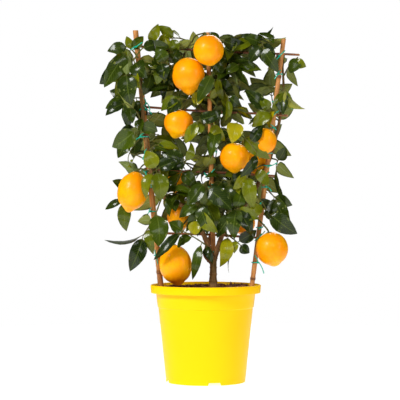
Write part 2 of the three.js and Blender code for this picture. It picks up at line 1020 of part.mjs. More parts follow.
        leaves: [
          [0.4, 210, -20, 56, 28, 180],
          [0.6, 330, -20, 56, 28, 180],
          [1, 270, -10, 62, 30, 180],
          [1, 220, -15, 58, 28, 175],
          [1, 320, -15, 56, 28, 185],
        ],
      },
    ],
  },
];

// The first of the tries that is clear of everything placed so far.
function firstClear(tries, placed, build) {
  for (const attempt of tries) {
    const loose = build(attempt, clearance);
    const meets = placed.some((other) => boxesMeet(loose, other) && loose.intersect(other).volume() > 1e-3);
    if (!meets) return attempt;
  }
  return tries[0];
}

const swings = [0, 8, -8, 16, -16, 24, -24, 32, -32, 40, -40, 50, -50, 60, -60];

function shootSolid({ sprays }, placed, wood) {
  const solids = [];
  sprays.forEach(({ by, path, from, leaves }, index) => {
    const points = path.map((point) => grown(by, point));
    if (from !== undefined) {
      points.unshift(grown(sprays[0].by, sprays[0].path[from]));
      const collar = new THREE.SphereGeometry(twigDiameter * growth * 0.65, 6, 4);
      collar.translate(...points[0].toArray());
      solids.push(toSolid(collar));
    }
    const start = twigDiameter * growth * (index === 0 ? 0.48 : 0.42);
    const line = new THREE.CatmullRomCurve3(points);
    solids.push(toSolid(tube(points, start, twigDiameter * growth * 0.38, 4, 2 * (points.length - 1))));
    for (const [at, bearing, lean, length, width, turn, arch] of leaves) {
      const base = line.getPointAt(at);
      const size = { length: length * growth, width: width * growth, turn, arch };
      const build = (swing, extra) => leafSolid(base, { bearing: bearing + swing, lean, ...size }, extra);
      const swing = firstClear(swings, placed, build);
      solids.push(build(swing, 0));
    }
  });
  return joined(solids).subtract(wood);
}

// ---------------------------------------------------------------- lemons

// Lemons: [x from the upright, depth, height] of the middle, widest diameter, length, how far the stalk
// end tips to the right and to the front in degrees, and the stalk's route back to the wood.
const lemons = [
  {
    by: "centre", middle: [0, -48, 436], diameter: 55, length: 59, nipple: 2, tip: [-10, 0],
    stalk: [["centre", -10, -32, 468], ["centre", -24, -2, 466], ["centre", -30.5, 12.5, 457]],
  },
  {
    by: "centre", middle: [-38, -22, 393], diameter: 61, length: 76, nipple: 7, tip: [-3, -3],
    stalk: [["centre", -42, -10, 438], ["centre", -46, 12, 432]],
  },
  {
    by: "centre", middle: [-58, -25, 304], diameter: 55, length: 60, nipple: 5, tip: [18, 0],
    stalk: [["centre", -42, -20, 338], ["centre", -37, -2, 352], ["centre", -31, 13, 362]],
  },
  {
    by: "left", middle: [-34, -14, 178], diameter: 57, length: 80, nipple: 6, tip: [12.6, 0],
    stalk: [["left", -10, -15, 219], ["left", 3, -14.5, 214]],
  },
  {
    by: "centre", middle: [43, -30, 241], diameter: 55, length: 60, nipple: 4, tip: [0, 0],
    stalk: [["centre", 36, -24, 277], ["centre", 20, -2, 268], ["centre", 4, 16, 262]],
  },
  {
    by: "left", middle: [32, -22, 43], diameter: 60, length: 80, nipple: 5, tip: [-8, 0],
    stalk: [["left", 38, -23, 100], ["centre", -42, -19, 134], ["centre", -44, -18, 143]],
  },
  {
    by: "right", middle: [27, -26, 72], diameter: 59, length: 66, nipple: 3, tip: [-12, 0],
    stalk: [["right", 4, -24, 118], ["right", -14, -8, 134], ["centre", 60, 13, 150]],
  },
  {
    by: "centre", middle: [-61, 18, 130], diameter: 47, length: 54, nipple: 3, tip: [5, 0],
    stalk: [["centre", -62, 4, 170], ["centre", -68, -15, 157]],
  },
  {
    by: "right", middle: [-13, -28, 271], diameter: 46, length: 52, nipple: 3, tip: [0, -10],
    stalk: [["right", -12, -12, 303], ["right", -8, 9, 302], ["right", 8, 15, 292]],
  },
  {
    by: "right", middle: [-22, 28, 234], diameter: 46, length: 50, nipple: 3, tip: [0, 0],
    stalk: [["right", -10, 25, 265], ["right", 5, 17, 255]],
  },
  {
    by: "centre", middle: [-66, 27, 199], diameter: 43, length: 48, nipple: 2.5, tip: [0, 0],
    stalk: [["centre", -50, 26, 231], ["centre", -25, 21, 225], ["centre", 1, 18, 217]],
  },
  {
    by: "centre", middle: [58, 30, 119], diameter: 44, length: 48, nipple: 2.5, tip: [0, 0],
    stalk: [["centre", 59, 18, 152]],
  },
];

// A lemon's outline from the stalk end to the tip, with a small neck and a nipple of its own size.
function lemonProfile(diameter, length, nipple) {
  const profile = [];
  const rings = 6;
  for (let i = 0; i <= rings; i += 1) {
    const angle = (Math.PI * i) / rings;
    const round = (diameter / 2) * Math.sin(angle) ** 0.92;
    profile.push(new THREE.Vector2(round, (length / 2 - nipple) * -Math.cos(angle)));
  }
  profile[0].set(0, -length / 2);
  profile.splice(1, 0, new THREE.Vector2(nipple * 0.9, -length / 2 + nipple * 0.35));
  profile[profile.length - 1].set(0, length / 2 - nipple);
  return profile;
}

function lemonSolid({ by, middle, diameter, length, nipple, tip, stalk }, wood) {
  const scaled = [diameter * growth, length * growth, nipple * growth];
  const centre = grown(by, middle);
  const lathe = new THREE.LatheGeometry(lemonProfile(...scaled), 10);
  lathe.rotateX(Math.PI / 2);
  lathe.rotateY(tip[0] * degrees);
  lathe.rotateX(tip[1] * degrees);
  const up = vec(0, 0, 1).applyEuler(new THREE.Euler(0, tip[0] * degrees, 0));
  up.applyAxisAngle(vec(1, 0, 0), tip[1] * degrees);
  lathe.translate(...centre.toArray());
  const neck = centre.clone().addScaledVector(up, scaled[1] / 2 - scaled[2] - stalkSunk);
  const points = [neck, neck.clone().addScaledVector(up, 2 * stalkSunk)];
  points.push(...stalk.map(([name, ...point]) => grown(name, point)));
  const stem = toSolid(tube(points, stalkDiameter / 2, stalkDiameter / 2, 3, 5));
  return toSolid(lathe).add(stem).subtract(wood);
}

// ---------------------------------------------------------------- ties

// A wire loop drawn round two members. Each is a centre in the plane of side and depth, and a radius.
function beltPoints(members, plane) {
  const points = [];
  const steps = 16;
  for (let i = 0; i < steps; i += 1) {
    const angle = (2 * Math.PI * i) / steps;
    const normal = plane.side.clone().multiplyScalar(Math.cos(angle));
    normal.addScaledVector(plane.depth, Math.sin(angle));
    const reach = members.map(({ at, radius }) => at.dot(normal) + radius);
    const { at, radius } = members[reach.indexOf(Math.max(...reach))];
    points.push(at.clone().addScaledVector(normal, radius + tieSlack));
  }
  return points;
}

// Ties: either an upright and the crossbar behind it, or an upright and a grown point beside it.
const ties = [
  { on: "left", bar: "crossbar_1", tail: [-100, 12, -4, 8] },
  { on: "left", bar: "crossbar_2", tail: [-60, 6, -3, -14] },
  { on: "left", beside: [-1, -13.2, 3.4], height: 279, tail: [-140, -14, -4, -12] },
  { on: "left", height: 141, tail: [-120, -6, -4, -10] },
  { on: "left", bar: "crossbar_4", tail: [-120, -8, -3, 5] },
  { on: "left", height: 59, tail: [-100, 2, -4, -16] },
  { on: "right", bar: "crossbar_1", tail: [-120, -6, -4, -6] },
  { on: "right", beside: [12, 14.2, 4], height: 345, tail: [-30, 8, -4, -14] },
  { on: "right", bar: "crossbar_2", tail: [-45, 8, -3, -8] },
  { on: "right", height: 249, tail: [-150, -8, -4, -10] },
  { on: "right", bar: "crossbar_4", tail: [-60, 5, -4, 6] },
  { on: "right", height: 46, tail: [-60, 9, -4, -20] },
  { on: "centre", height: 112, tail: [-60, 6, -4, 8] },
  { on: "centre", bar: "crossbar_3", tail: [-130, -6, -3, 7] },
];

function tieSolid({ on, bar, beside, height, tail }) {
  const cane = canes[on];
  const z = bar ? crossingHeight(bar, on) : heightAbove(height);
  const centre = vec(caneX(on, z), 0, z);
  const steep = bar ? tieSteepness : 1.02;
  const plane = { side: bar ? vec(Math.SQRT1_2, 0, Math.SQRT1_2) : vec(1, 0, 0), depth: vec(0, 1, 0) };
  const members = [{ at: centre.clone(), radius: (cane.diameter / 2 + (bar ? tieLooseness : 0.35)) * steep }];
  if (bar) members.push({ at: centre.clone().setY(crossbarDepth), radius: (crossbarDiameter / 2) * steep });
  else if (beside) {
    const [x, y, radius] = beside;
    members.push({ at: centre.clone().add(vec(x * growth, grownDepth(y), 0)), radius: radius * growth });
  }
  const loop = new THREE.CatmullRomCurve3(beltPoints(members, plane), true);
  const ringSteps = 12;
  const ring = toSolid(new THREE.TubeGeometry(loop, ringSteps, wireDiameter / 2, 3, true));
  const [angle, ...tailWay] = tail;
  const outwards = plane.side.clone().multiplyScalar(Math.cos(angle * degrees));
  outwards.addScaledVector(plane.depth, Math.sin(angle * degrees));
  const knotStep = Math.round((angle / 360 + 1) * ringSteps) % ringSteps;
  const knot = loop.getPointAt(knotStep / ringSteps);
  const twistEnd = knot.clone().addScaledVector(outwards, tieTwistLength);
  const twist = toSolid(tube([knot, twistEnd], wireDiameter * 0.75, wireDiameter * 0.75, 4, 1));
  const tailEnd = twistEnd.clone().add(vec(...tailWay));
  const elbow = twistEnd.clone().lerp(tailEnd, 0.4).addScaledVector(outwards, 2);
  const wire = toSolid(tube([twistEnd.clone().addScaledVector(outwards, -2), elbow, tailEnd],
    wireDiameter * 0.4, wireDiameter * 0.4, 3, 2));
  return ring.add(twist).add(wire);
}

// ---------------------------------------------------------------- the tree

const plastic = { color: 0xffe000, roughness: 0.35, metalness: 0 };
const looks = {
  pot: plastic,
  soil: { color: 0x3a2018, roughness: 1, metalness: 0 },
  wood: { color: 0x5c3a20, roughness: 0.85, metalness: 0 },
  cane: { color: 0xbf7a3c, roughness: 0.6, metalness: 0 },
  crossbar: { color: 0x9a5a30, roughness: 0.65, metalness: 0 },
  wire: { color: 0x14846a, roughness: 0.4, metalness: 0 },
  lemon: { color: 0xffa200, roughness: 0.35, metalness: 0 },
  leaf: { color: 0x35560f, roughness: 0.35, metalness: 0 },
};
const materials = Object.fromEntries(
  Object.entries(looks).map(([name, look]) => [name, new THREE.MeshStandardMaterial(look)]),
);

const tree = new THREE.Group();
tree.name = "potted_lemon_tree";

function addPiece(name, solid, material) {
  const mesh = new THREE.Mesh(toGeometry(solid), materials[material]);
  mesh.name = name;
  tree.add(mesh);
}

const wood = woodSolid(0);
const woodWithGap = woodSolid(clearance);
const caneNames = Object.keys(canes);
const caneHoles = caneNames.map((name) => caneSolid(name, clearance));
const placed = [];

addPiece("pot", potSolid(), "pot");
const soil = soilSolid([woodWithGap, ...caneHoles]);
addPiece("soil", soil, "soil");
addPiece("trunk", wood, "wood");
placed.push(woodWithGap, soil);

for (const name of caneNames) {
  const cane = caneSolid(name);
  addPiece(`cane_${name}`, cane, "cane");
  placed.push(cane);
}
for (const [name, bar] of Object.entries(crossbars)) {
  const solid = crossbarSolid(bar);
  addPiece(name, solid, "crossbar");
  placed.push(solid);
}
ties.forEach((tie, index) => {
  const solid = tieSolid(tie);
  addPiece(`tie_${index + 1}`, solid, "wire");
  placed.push(solid);
});
lemons.forEach((lemon, index) => {
  const solid = lemonSolid(lemon, woodWithGap);
  addPiece(`lemon_${index + 1}`, solid, "lemon");
  placed.push(solid);
});
for (const shoot of shoots) {
  const solid = shootSolid(shoot, placed, woodWithGap);
  addPiece(`shoot_${shoot.name}`, solid, "leaf");
  placed.push(solid);
}

export default tree;
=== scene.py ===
# A dwarf lemon tree tied to a small trellis of canes, in a yellow plastic pot.
# The tables are in millimetres and degrees, and makePiece turns them into metres. Only the stage is in
# metres.
import math

import bpy
import numpy as np
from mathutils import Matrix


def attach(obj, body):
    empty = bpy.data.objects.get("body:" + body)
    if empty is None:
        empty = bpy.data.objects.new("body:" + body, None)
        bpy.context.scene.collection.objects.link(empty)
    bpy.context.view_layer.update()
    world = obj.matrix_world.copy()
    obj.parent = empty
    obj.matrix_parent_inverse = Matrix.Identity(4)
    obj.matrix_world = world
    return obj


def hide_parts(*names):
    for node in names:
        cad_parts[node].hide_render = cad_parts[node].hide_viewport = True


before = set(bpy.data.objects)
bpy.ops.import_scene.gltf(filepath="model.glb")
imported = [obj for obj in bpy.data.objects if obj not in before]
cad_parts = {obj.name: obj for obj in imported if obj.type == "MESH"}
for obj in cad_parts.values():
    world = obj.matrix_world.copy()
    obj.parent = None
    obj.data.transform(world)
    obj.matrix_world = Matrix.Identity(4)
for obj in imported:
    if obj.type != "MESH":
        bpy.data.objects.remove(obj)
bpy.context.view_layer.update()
print("frame loaded:", len(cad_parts), "nodes")


def unit(vectors):
    return vectors / np.linalg.norm(vectors, axis=-1, keepdims=True)


def smoothStep(low, high, value):
    share = np.clip((value - low) / (high - low), 0, 1)
    return share * share * (3 - 2 * share)


# Soft lumps: the mean of a few sine waves that run in different directions, about -0.5 to 0.5. Their
# lengths lie round the given size.
def ripple(points, size, seed, waves=7):
    draws = np.random.default_rng(seed)
    ways = unit(draws.normal(size=(waves, 3))) * draws.uniform(0.7, 1.6, (waves, 1)) * 2 * math.pi / size
    return np.sin(points @ ways.T + draws.uniform(0, 6.3, waves)).mean(-1)


# A bell curve: 1 where the value is 0, and 0.37 where it is as far as the width.
def bell(value, width):
    return np.exp(-(value / width) ** 2)


# The directions of evenly spaced steps round a circle, starting at 0.
def roundSteps(count):
    return np.arange(count) * 2 * math.pi / count


# Points at the given shares of the length of a smooth curve through some points. Each span is the cubic
# whose end slopes come from its neighbours, spaced by the square root of their distance.
def alongCurve(points, shares, steps=24):
    p = np.asarray(points, float)
    if len(p) == 2:
        fine = p
    else:
        p = np.vstack([2 * p[0] - p[1], p, 2 * p[-1] - p[-2]])
        gap = np.sqrt(np.linalg.norm(np.diff(p, axis=0), axis=1))[:, None]
        before, start, end, after = p[:-3], p[1:-2], p[2:-1], p[3:]
        g0, g1, g2 = gap[:-2], gap[1:-1], gap[2:]
        leave = g1 * ((start - before) / g0 - (end - before) / (g0 + g1) + (end - start) / g1)
        arrive = g1 * ((end - start) / g1 - (after - start) / (g1 + g2) + (after - end) / g2)
        t = np.linspace(0, 1, steps, endpoint=False)[None, :, None]
        spans = [a[:, None] for a in (start, end, leave, arrive)]
        fine = ((2 * t**3 - 3 * t**2 + 1) * spans[0] + (3 * t**2 - 2 * t**3) * spans[1]
                + (t**3 - 2 * t**2 + t) * spans[2] + (t**3 - t**2) * spans[3])
        fine = np.vstack([fine.reshape(-1, 3), p[-2]])
    run = np.concatenate([[0], np.cumsum(np.linalg.norm(np.diff(fine, axis=0), axis=1))])
    at = np.asarray(shares) * run[-1]
    return np.stack([np.interp(at, run, fine[:, k]) for k in range(3)], -1)


# A stack of closed rings as one closed body, with a middle point on each end ring. If the body's signed
# volume is negative its faces are turned round.
def closedSurface(rings, marks=None, uv=None):
    rows, sides = rings.shape[:2]
    index = np.arange(rows * sides).reshape(rows, sides)
    beside = np.roll(index, -1, axis=1)
    quads = np.stack([index[:-1], beside[:-1], beside[1:], index[1:]], -1).reshape(-1, 4)
    ends = np.full(sides, rows * sides)
    fans = np.vstack([np.stack([beside[0], index[0], ends], -1),
                      np.stack([index[-1], beside[-1], ends + 1], -1)])
    points = np.vstack([rings.reshape(-1, 3), rings[0].mean(0), rings[-1].mean(0)])
    halves = np.vstack([quads[:, [0, 1, 2]], quads[:, [0, 2, 3]], fans])
    a, b, c = (points[halves[:, k]] for k in range(3))
    if np.einsum("ij,ij->i", a, np.cross(b, c)).sum() < 0:
        quads, fans = quads[:, ::-1], fans[:, ::-1]

    def withEnds(values):
        full = np.broadcast_to(values, (rows, sides)).astype(float)
        return np.concatenate([full.ravel(), [full[0].mean(), full[-1].mean()]])

    uv = (0, 0) if uv is None else uv
    return {"points": points, "quads": quads, "tris": fans,
            "uv": np.stack([withEnds(uv[0]), withEnds(uv[1])], -1),
            "marks": {key: withEnds(value) for key, value in (marks or {}).items()}}


def joinShapes(shapes):
    starts = np.cumsum([0] + [len(s["points"]) for s in shapes])[:-1]
    keys = sorted({key for s in shapes for key in s["marks"]})
    return {"points": np.vstack([s["points"] for s in shapes]),
            "quads": np.vstack([s["quads"] + n for s, n in zip(shapes, starts)]),
            "tris": np.vstack([s["tris"] + n for s, n in zip(shapes, starts)]),
            "uv": np.vstack([s["uv"] for s in shapes]),
            "marks": {key: np.concatenate([s["marks"].get(key, np.zeros(len(s["points"]))) for s in shapes])
                      for key in keys}}


# A profile carried along a path: at each station a ring across the path, whose points are the path plus the
# radius times the cosine and sine of the way round. Radii may differ round a ring. The marks hold that
# cosine and sine, and the distance along in millimetres.
def sweep(path, radii, sides, marks=None):
    path = np.asarray(path, float)
    way = unit(np.gradient(path, axis=0))
    across = unit(np.cross(np.eye(3)[np.abs(way).max(0).argmin()], way))
    upward = np.cross(way, across)
    turn = roundSteps(sides)
    radii = np.asarray(radii, float)
    radii = radii[:, None] if radii.ndim == 1 else radii
    radii = np.broadcast_to(radii, (len(path), sides))[..., None]
    rings = path[:, None] + radii * (np.cos(turn)[None, :, None] * across[:, None]
                                     + np.sin(turn)[None, :, None] * upward[:, None])
    run = np.concatenate([[0], np.cumsum(np.linalg.norm(np.diff(path, axis=0), axis=1))])[:, None]
    own = {"along": run, "ringX": np.cos(turn)[None], "ringY": np.sin(turn)[None]}
    return closedSurface(rings, {**own, **(marks or {})})


# A profile of radius and height turned about an upright axis.
def turned(profile, sides, marks=None):
    profile = np.asarray(profile, float)
    turn = roundSteps(sides)
    rings = np.stack([profile[:, :1] * np.cos(turn), profile[:, :1] * np.sin(turn),
                      np.broadcast_to(profile[:, 1:], (len(profile), sides))], -1)
    return closedSurface(rings, marks)


# A mesh from a shape's arrays, with its place in its points, on the root body. Edges under the angle are
# smooth.
def makePiece(name, shape, material, nodes=(), smoothBelow=40):
    mesh = bpy.data.meshes.new(name)
    points, quads, tris = shape["points"] * 0.001, shape["quads"], shape["tris"]
    corners = np.concatenate([quads.ravel(), tris.ravel()]).astype(np.int32)
    starts = np.concatenate([4 * np.arange(len(quads)), 4 * len(quads) + 3 * np.arange(len(tris))])
    mesh.vertices.add(len(points))
    mesh.vertices.foreach_set("co", points.astype(np.float32).ravel())
    mesh.loops.add(len(corners))
    mesh.loops.foreach_set("vertex_index", corners)
    mesh.polygons.add(len(starts))
    mesh.polygons.foreach_set("loop_start", starts.astype(np.int32))
    layer = mesh.uv_layers.new(name="UVMap")
    layer.data.foreach_set("uv", shape["uv"][corners].astype(np.float32).ravel())
    for key, values in shape["marks"].items():
        mark = mesh.attributes.new(key, "FLOAT", "POINT")
        mark.data.foreach_set("value", values.astype(np.float32))
    mesh.update(calc_edges=True)
    mesh.validate()
    mesh.polygons.foreach_set("use_smooth", np.ones(len(mesh.polygons), bool))
    mesh.set_sharp_from_angle(angle=math.radians(smoothBelow))
    mesh.materials.append(material)
    piece = bpy.data.objects.new(name, mesh)
    bpy.context.scene.collection.objects.link(piece)
    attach(piece, "root")
    if nodes:
        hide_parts(*nodes)
    return piece


# A socket in a material's node tree. Python operators on it add Math nodes, and node() adds any other.
class Field:
    def __init__(self, tree, socket=None):
        self.tree, self.socket = tree, socket

    def node(self, kind, settings=None, inputs=None, output=0):
        made = self.tree.nodes.new(kind)
        settings = dict(settings or {})
        stops = settings.pop("stops", None)
        for key, value in settings.items():
            setattr(made, key, value)
        if stops:
            ramp = made.color_ramp.elements
            for place, colour in stops[2:]:
                ramp.new(place)
            for element, (place, colour) in zip(ramp, sorted(stops)):
                element.position, element.color = place, (*colour, 1)
        for key, value in (inputs or {}).items():
            if isinstance(value, Field):
                self.tree.links.new(value.socket, made.inputs[key])
            else:
                made.inputs[key].default_value = value
        return Field(self.tree, made.outputs[output])

    def maths(self, operation, a, b=None):
        return self.node("ShaderNodeMath", {"operation": operation}, {0: a} if b is None else {0: a, 1: b})

    def __add__(self, other):
        return self.maths("ADD", self, other)

    def __radd__(self, other):
        return self.maths("ADD", other, self)

    def __sub__(self, other):
        return self.maths("SUBTRACT", self, other)

    def __rsub__(self, other):
        return self.maths("SUBTRACT", other, self)

    def __mul__(self, other):
        return self.maths("MULTIPLY", self, other)

    def __rmul__(self, other):
        return self.maths("MULTIPLY", other, self)

    def mapped(self, low, high, toLow=0.0, toHigh=1.0):
        return self.node("ShaderNodeMapRange", {"interpolation_type": "SMOOTHSTEP"},
                         {0: self, 1: low, 2: high, 3: toLow, 4: toHigh})

    def noise(self, where, scale, detail=2.0, output=0):
        return self.node("ShaderNodeTexNoise", None,
                         {"Vector": where, "Scale": scale, "Detail": detail}, output)

    def mark(self, name):
        return self.node("ShaderNodeAttribute", {"attribute_name": name}, None, "Fac")

    def blend(self, share, first, second, how="MIX"):
        first, second = (c if isinstance(c, Field) else (*c, 1) for c in (first, second))
        return self.node("ShaderNodeMix", {"data_type": "RGBA", "blend_type": how},
                         {"Factor": share, 6: first, 7: second}, 2)

    def bump(self, height, strength, distance):
        return self.node("ShaderNodeBump", None,
                         {"Height": height, "Strength": strength, "Distance": distance})

    # Coordinates that run along a swept piece and round it, in millimetres, with no seam.
    def sweptPlace(self, radius, stretch=1.0):
        return self.node("ShaderNodeCombineXYZ", None, {
            "X": self.mark("ringX") * radius, "Y": self.mark("ringY") * radius,
            "Z": self.mark("along") * stretch})


# A material whose fixed values are set on its shader. connect() links what varies and gives the material.
def newMaterial(name, fixed):
    material = bpy.data.materials.new(name)
    material.use_nodes = True
    tree = material.node_tree
    shader = tree.nodes["Principled BSDF"]
    for key, value in fixed.items():
        shader.inputs[key].default_value = value

    def connect(links):
        for key, value in links.items():
            tree.links.new(value.socket, shader.inputs[key])
        return material

    return Field(tree), connect


# Glossy plastic: one yellow that drifts a little, with a faint moulded grain.
def potPlastic():
    start, connect = newMaterial("potPlastic", {"Roughness": 0.36, "Specular IOR Level": 0.1})
    place = start.node("ShaderNodeTexCoord", None, None, "Object")
    cloud = start.noise(place, 9.0, 3.0)
    grain = start.noise(place, 900.0, 2.0)
    colour = start.blend(cloud, (1.0, 0.57, 0.0), (1.0, 0.62, 0.0))
    return connect({"Base Color": colour, "Normal": start.bump(grain, 0.06, 0.0006)})


# Potting mix: dark grains and paler patches, with crumbs raised by cells.
def soilMix():
    start, connect = newMaterial("soilMix", {"Specular IOR Level": 0.2})
    place = start.node("ShaderNodeTexCoord", None, None, "Object")
    crumbs = start.node("ShaderNodeTexVoronoi", None, {"Vector": place, "Scale": 330.0}, "Distance")
    patches = start.noise(place, 60.0, 6.0)
    tone = start.noise(place, 420.0, 3.0)
    dark = start.blend(tone.mapped(0.35, 0.65), (0.06, 0.018, 0.008), (0.2, 0.07, 0.032))
    colour = start.blend(patches.mapped(0.5, 0.72), dark, (0.32, 0.125, 0.06))
    height = crumbs * 0.7 + patches * 0.6
    return connect({"Base Color": colour, "Roughness": tone.mapped(0.2, 0.8, 0.8, 1.0),
                    "Normal": start.bump(height, 0.9, 0.004)})


# Bark: grey-brown ridges drawn out along the stem, greener where "young" is high.
def treeBark():
    start, connect = newMaterial("treeBark", {"Specular IOR Level": 0.3})
    place = start.sweptPlace(7.0, 0.16)
    ridges = start.noise(place, 0.55, 6.0)
    flecks = start.noise(start.sweptPlace(7.0, 0.8), 1.1, 3.0)
    brown = start.blend(ridges.mapped(0.36, 0.64), (0.13, 0.048, 0.012), (0.34, 0.155, 0.055))
    brown = start.blend(flecks.mapped(0.56, 0.7) * 0.6, brown, (0.42, 0.24, 0.11))
    colour = start.blend(start.mark("young"), brown, (0.085, 0.1, 0.018))
    return connect({"Base Color": colour, "Roughness": ridges.mapped(0.3, 0.7, 0.62, 0.9),
                    "Normal": start.bump(ridges + flecks * 0.4, 0.7, 0.0016)})


# Bamboo: fine fibres along the cane, a dark scar at each node, a cut end that is paler.
def caneSkin(name, pale, deep, scar, cut):
    start, connect = newMaterial(name, {"Specular IOR Level": 0.4})
    fibres = start.noise(start.sweptPlace(5.0, 0.02), 1.6, 5.0)
    cloud = start.noise(start.sweptPlace(3.0, 0.22), 0.16, 4.0)
    freckles = start.noise(start.sweptPlace(4.0, 0.6), 0.9, 3.0)
    colour = start.blend(fibres.mapped(0.3, 0.7), deep, pale)
    colour = start.blend(cloud.mapped(0.45, 0.75) * 0.55, colour, deep)
    colour = start.blend(freckles.mapped(0.6, 0.72) * 0.7, colour, scar)
    colour = start.blend(start.mark("scar"), colour, scar)
    colour = start.blend(start.mark("cutEnd"), colour, cut)
    return connect({"Base Color": colour, "Roughness": fibres.mapped(0.2, 0.8, 0.36, 0.62),
                    "Normal": start.bump(fibres, 0.35, 0.0008)})


# Plastic-coated wire in a blue green that drifts along it.
def coatedWire():
    start, connect = newMaterial("coatedWire", {"Roughness": 0.3, "Coat Weight": 0.2})
    tone = start.noise(start.node("ShaderNodeTexCoord", None, None, "Object"), 45.0, 1.0)
    return connect({"Base Color": start.blend(tone, (0.0, 0.4, 0.25), (0.006, 0.62, 0.42))})


# Peel: orange-yellow with a warmer cloud, pale greenish ends and small pores. "stalk" marks the calyx.
def lemonPeel():
    start, connect = newMaterial("lemonPeel", {"Specular IOR Level": 0.1, "Coat Roughness": 0.2})
    place = start.node("ShaderNodeTexCoord", None, None, "Object")
    cloud = start.noise(place, 26.0, 3.0)
    pores = start.node("ShaderNodeTexVoronoi", {"feature": "SMOOTH_F1"},
                       {"Vector": place, "Scale": 620.0, "Smoothness": 0.6}, "Distance")
    fine = start.noise(place, 260.0, 3.0)
    stalk = start.mark("stalk")
    peel = start.blend(cloud.mapped(0.3, 0.7), (1.0, 0.3, 0.0), (1.0, 0.46, 0.0))
    peel = start.blend(start.mark("ends") * 0.5, peel, (0.93, 0.5, 0.03))
    peel = start.blend(pores.mapped(0.1, 0.5, 0.22, 0.0), peel, (0.8, 0.19, 0.0))
    wood = start.blend(cloud, (0.06, 0.075, 0.012), (0.12, 0.11, 0.03))
    height = (pores.mapped(0.0, 0.55) + fine * 0.5) * (1 - stalk)
    return connect({"Base Color": start.blend(stalk, peel, wood),
                    "Roughness": fine.mapped(0.3, 0.7, 0.3, 0.42) + stalk * 0.3,
                    "Coat Weight": 0.14 - stalk * 0.14,
                    "Normal": start.bump(height, 0.35, 0.0009)})


# A leaf's blade: u runs from the stalk to the tip and v across. Side veins leave the midrib at a slant and
# fade towards the edge. "under" is 1 on the lower face, "tone" goes from deep green to yellow, and "twig"
# marks the stems and leaf stalks.
def leafSkin():
    start, connect = newMaterial("leafSkin", {"Specular IOR Level": 0.1, "Coat Roughness": 0.12})
    place = start.node("ShaderNodeTexCoord", None, None, "Object")
    uv = start.node("ShaderNodeUVMap", {"uv_map": "UVMap"})
    parts = start.node("ShaderNodeSeparateXYZ", None, {"Vector": uv})
    across = Field(parts.tree, parts.socket.node.outputs["Y"]) - 0.5
    off = start.maths("ABSOLUTE", across) * 2.0
    slanted = parts * 13.0 - off * 2.6
    wave = start.maths("ABSOLUTE", start.maths("FRACT", slanted) - 0.5) * 2.0
    rib = 1.0 - off.mapped(0.015, 0.1)
    vein = wave.mapped(0.72, 1.0) * off.mapped(1.0, 0.35) * off.mapped(0.0, 0.12)
    under, tone, twig = (start.mark(key) for key in ("under", "tone", "twig"))
    cloud = start.noise(place, 38.0, 3.0)
    fine = start.noise(place, 700.0, 2.0)
    ramp = start.node("ShaderNodeValToRGB", {"stops": [
        (0.0, (0.008, 0.018, 0.001)), (0.35, (0.042, 0.07, 0.001)), (0.6, (0.17, 0.185, 0.001)),
        (0.82, (0.36, 0.3, 0.002)), (1.0, (0.5, 0.35, 0.002))]}, {"Fac": tone + cloud * 0.24 - 0.12})
    upper = start.blend(vein * 0.16 + rib * 0.24, ramp, (0.2, 0.27, 0.03))
    lower = start.blend(tone, (0.14, 0.18, 0.045), (0.42, 0.38, 0.05))
    lower = start.blend(vein * 0.35 + rib * 0.6, lower, (0.3, 0.36, 0.16))
    blade = start.blend(under, upper, lower)
    wood = start.blend(cloud, (0.07, 0.1, 0.014), (0.16, 0.13, 0.04))
    height = vein * -0.5 + rib * -0.8 + fine * 0.12 + cloud * 0.5
    return connect({"Base Color": start.blend(twig, blade, wood),
                    "Roughness": cloud.mapped(0.3, 0.7, 0.26, 0.38) + under * 0.28 + twig * 0.2,
                    "Coat Weight": (1 - under) * (1 - twig) * 0.36,
                    "Normal": start.bump(height * (1 - twig), 0.6, 0.0012)})


potYellow, soilBrown, barkBrown, wireGreen = potPlastic(), soilMix(), treeBark(), coatedWire()
caneTan = caneSkin("caneTan", pale=(0.72, 0.33, 0.09), deep=(0.44, 0.16, 0.035),
                   scar=(0.11, 0.035, 0.01), cut=(0.68, 0.42, 0.18))
caneRed = caneSkin("caneRed", pale=(0.4, 0.15, 0.055), deep=(0.17, 0.055, 0.018),
                   scar=(0.07, 0.025, 0.01), cut=(0.5, 0.3, 0.12))
peelYellow, leafGreen = lemonPeel(), leafSkin()
print("finishes ready")

trellis = {
    "soilLevel": 175, "caneFoot": 125, "caneTop": 652,
    "caneRows": 230, "caneSides": 40, "sway": 0.35, "swayWaves": 3,
    "nodeSwell": 0.7, "nodeWidth": 2.4, "waist": 0.25, "waistAway": 6, "waistWidth": 3,
    "scarAway": 1.6, "scarWidth": 1.3, "boreDepth": 6, "bore": 0.42,
    "footX": {"left": -78.46, "centre": 17, "right": 79.21},
    "topX": {"left": -130.5, "centre": 4, "right": 147},
    "diameter": {"left": 10.5, "centre": 8.8, "right": 9},
    "tall": {"left": 1, "centre": 0.993, "right": 0.97},
    "rings": {"left": (203, 362, 507), "centre": (214, 345, 480), "right": (191, 330, 452, 566)},
    "branchShare": 0.6, "crossbarDepth": 8.3, "crossbarDiameter": 4.5,
    "crossbars": {"crossbar_1": (449, 432, 21, 34), "crossbar_2": (336, 319, 12, 27),
                  "crossbar_3": (220, 207, 8, 19), "crossbar_4": (102, 92, 9, 8)},
    "barRows": 120, "barSides": 24, "bow": 0.7, "barNode": 0.3, "barNodeSwell": 0.35, "barLumps": 0.1,
}


# Sideways place of an upright at a height. "branch" is a line between the centre cane and the left one.
def caneX(name, z):
    if name == "branch":
        share = trellis["branchShare"]
        return (1 - share) * caneX("centre", z) + share * caneX("left", z)
    foot, top = trellis["footX"][name], trellis["topX"][name]
    return foot + (top - foot) * (z - trellis["caneFoot"]) / (trellis["caneTop"] - trellis["caneFoot"])


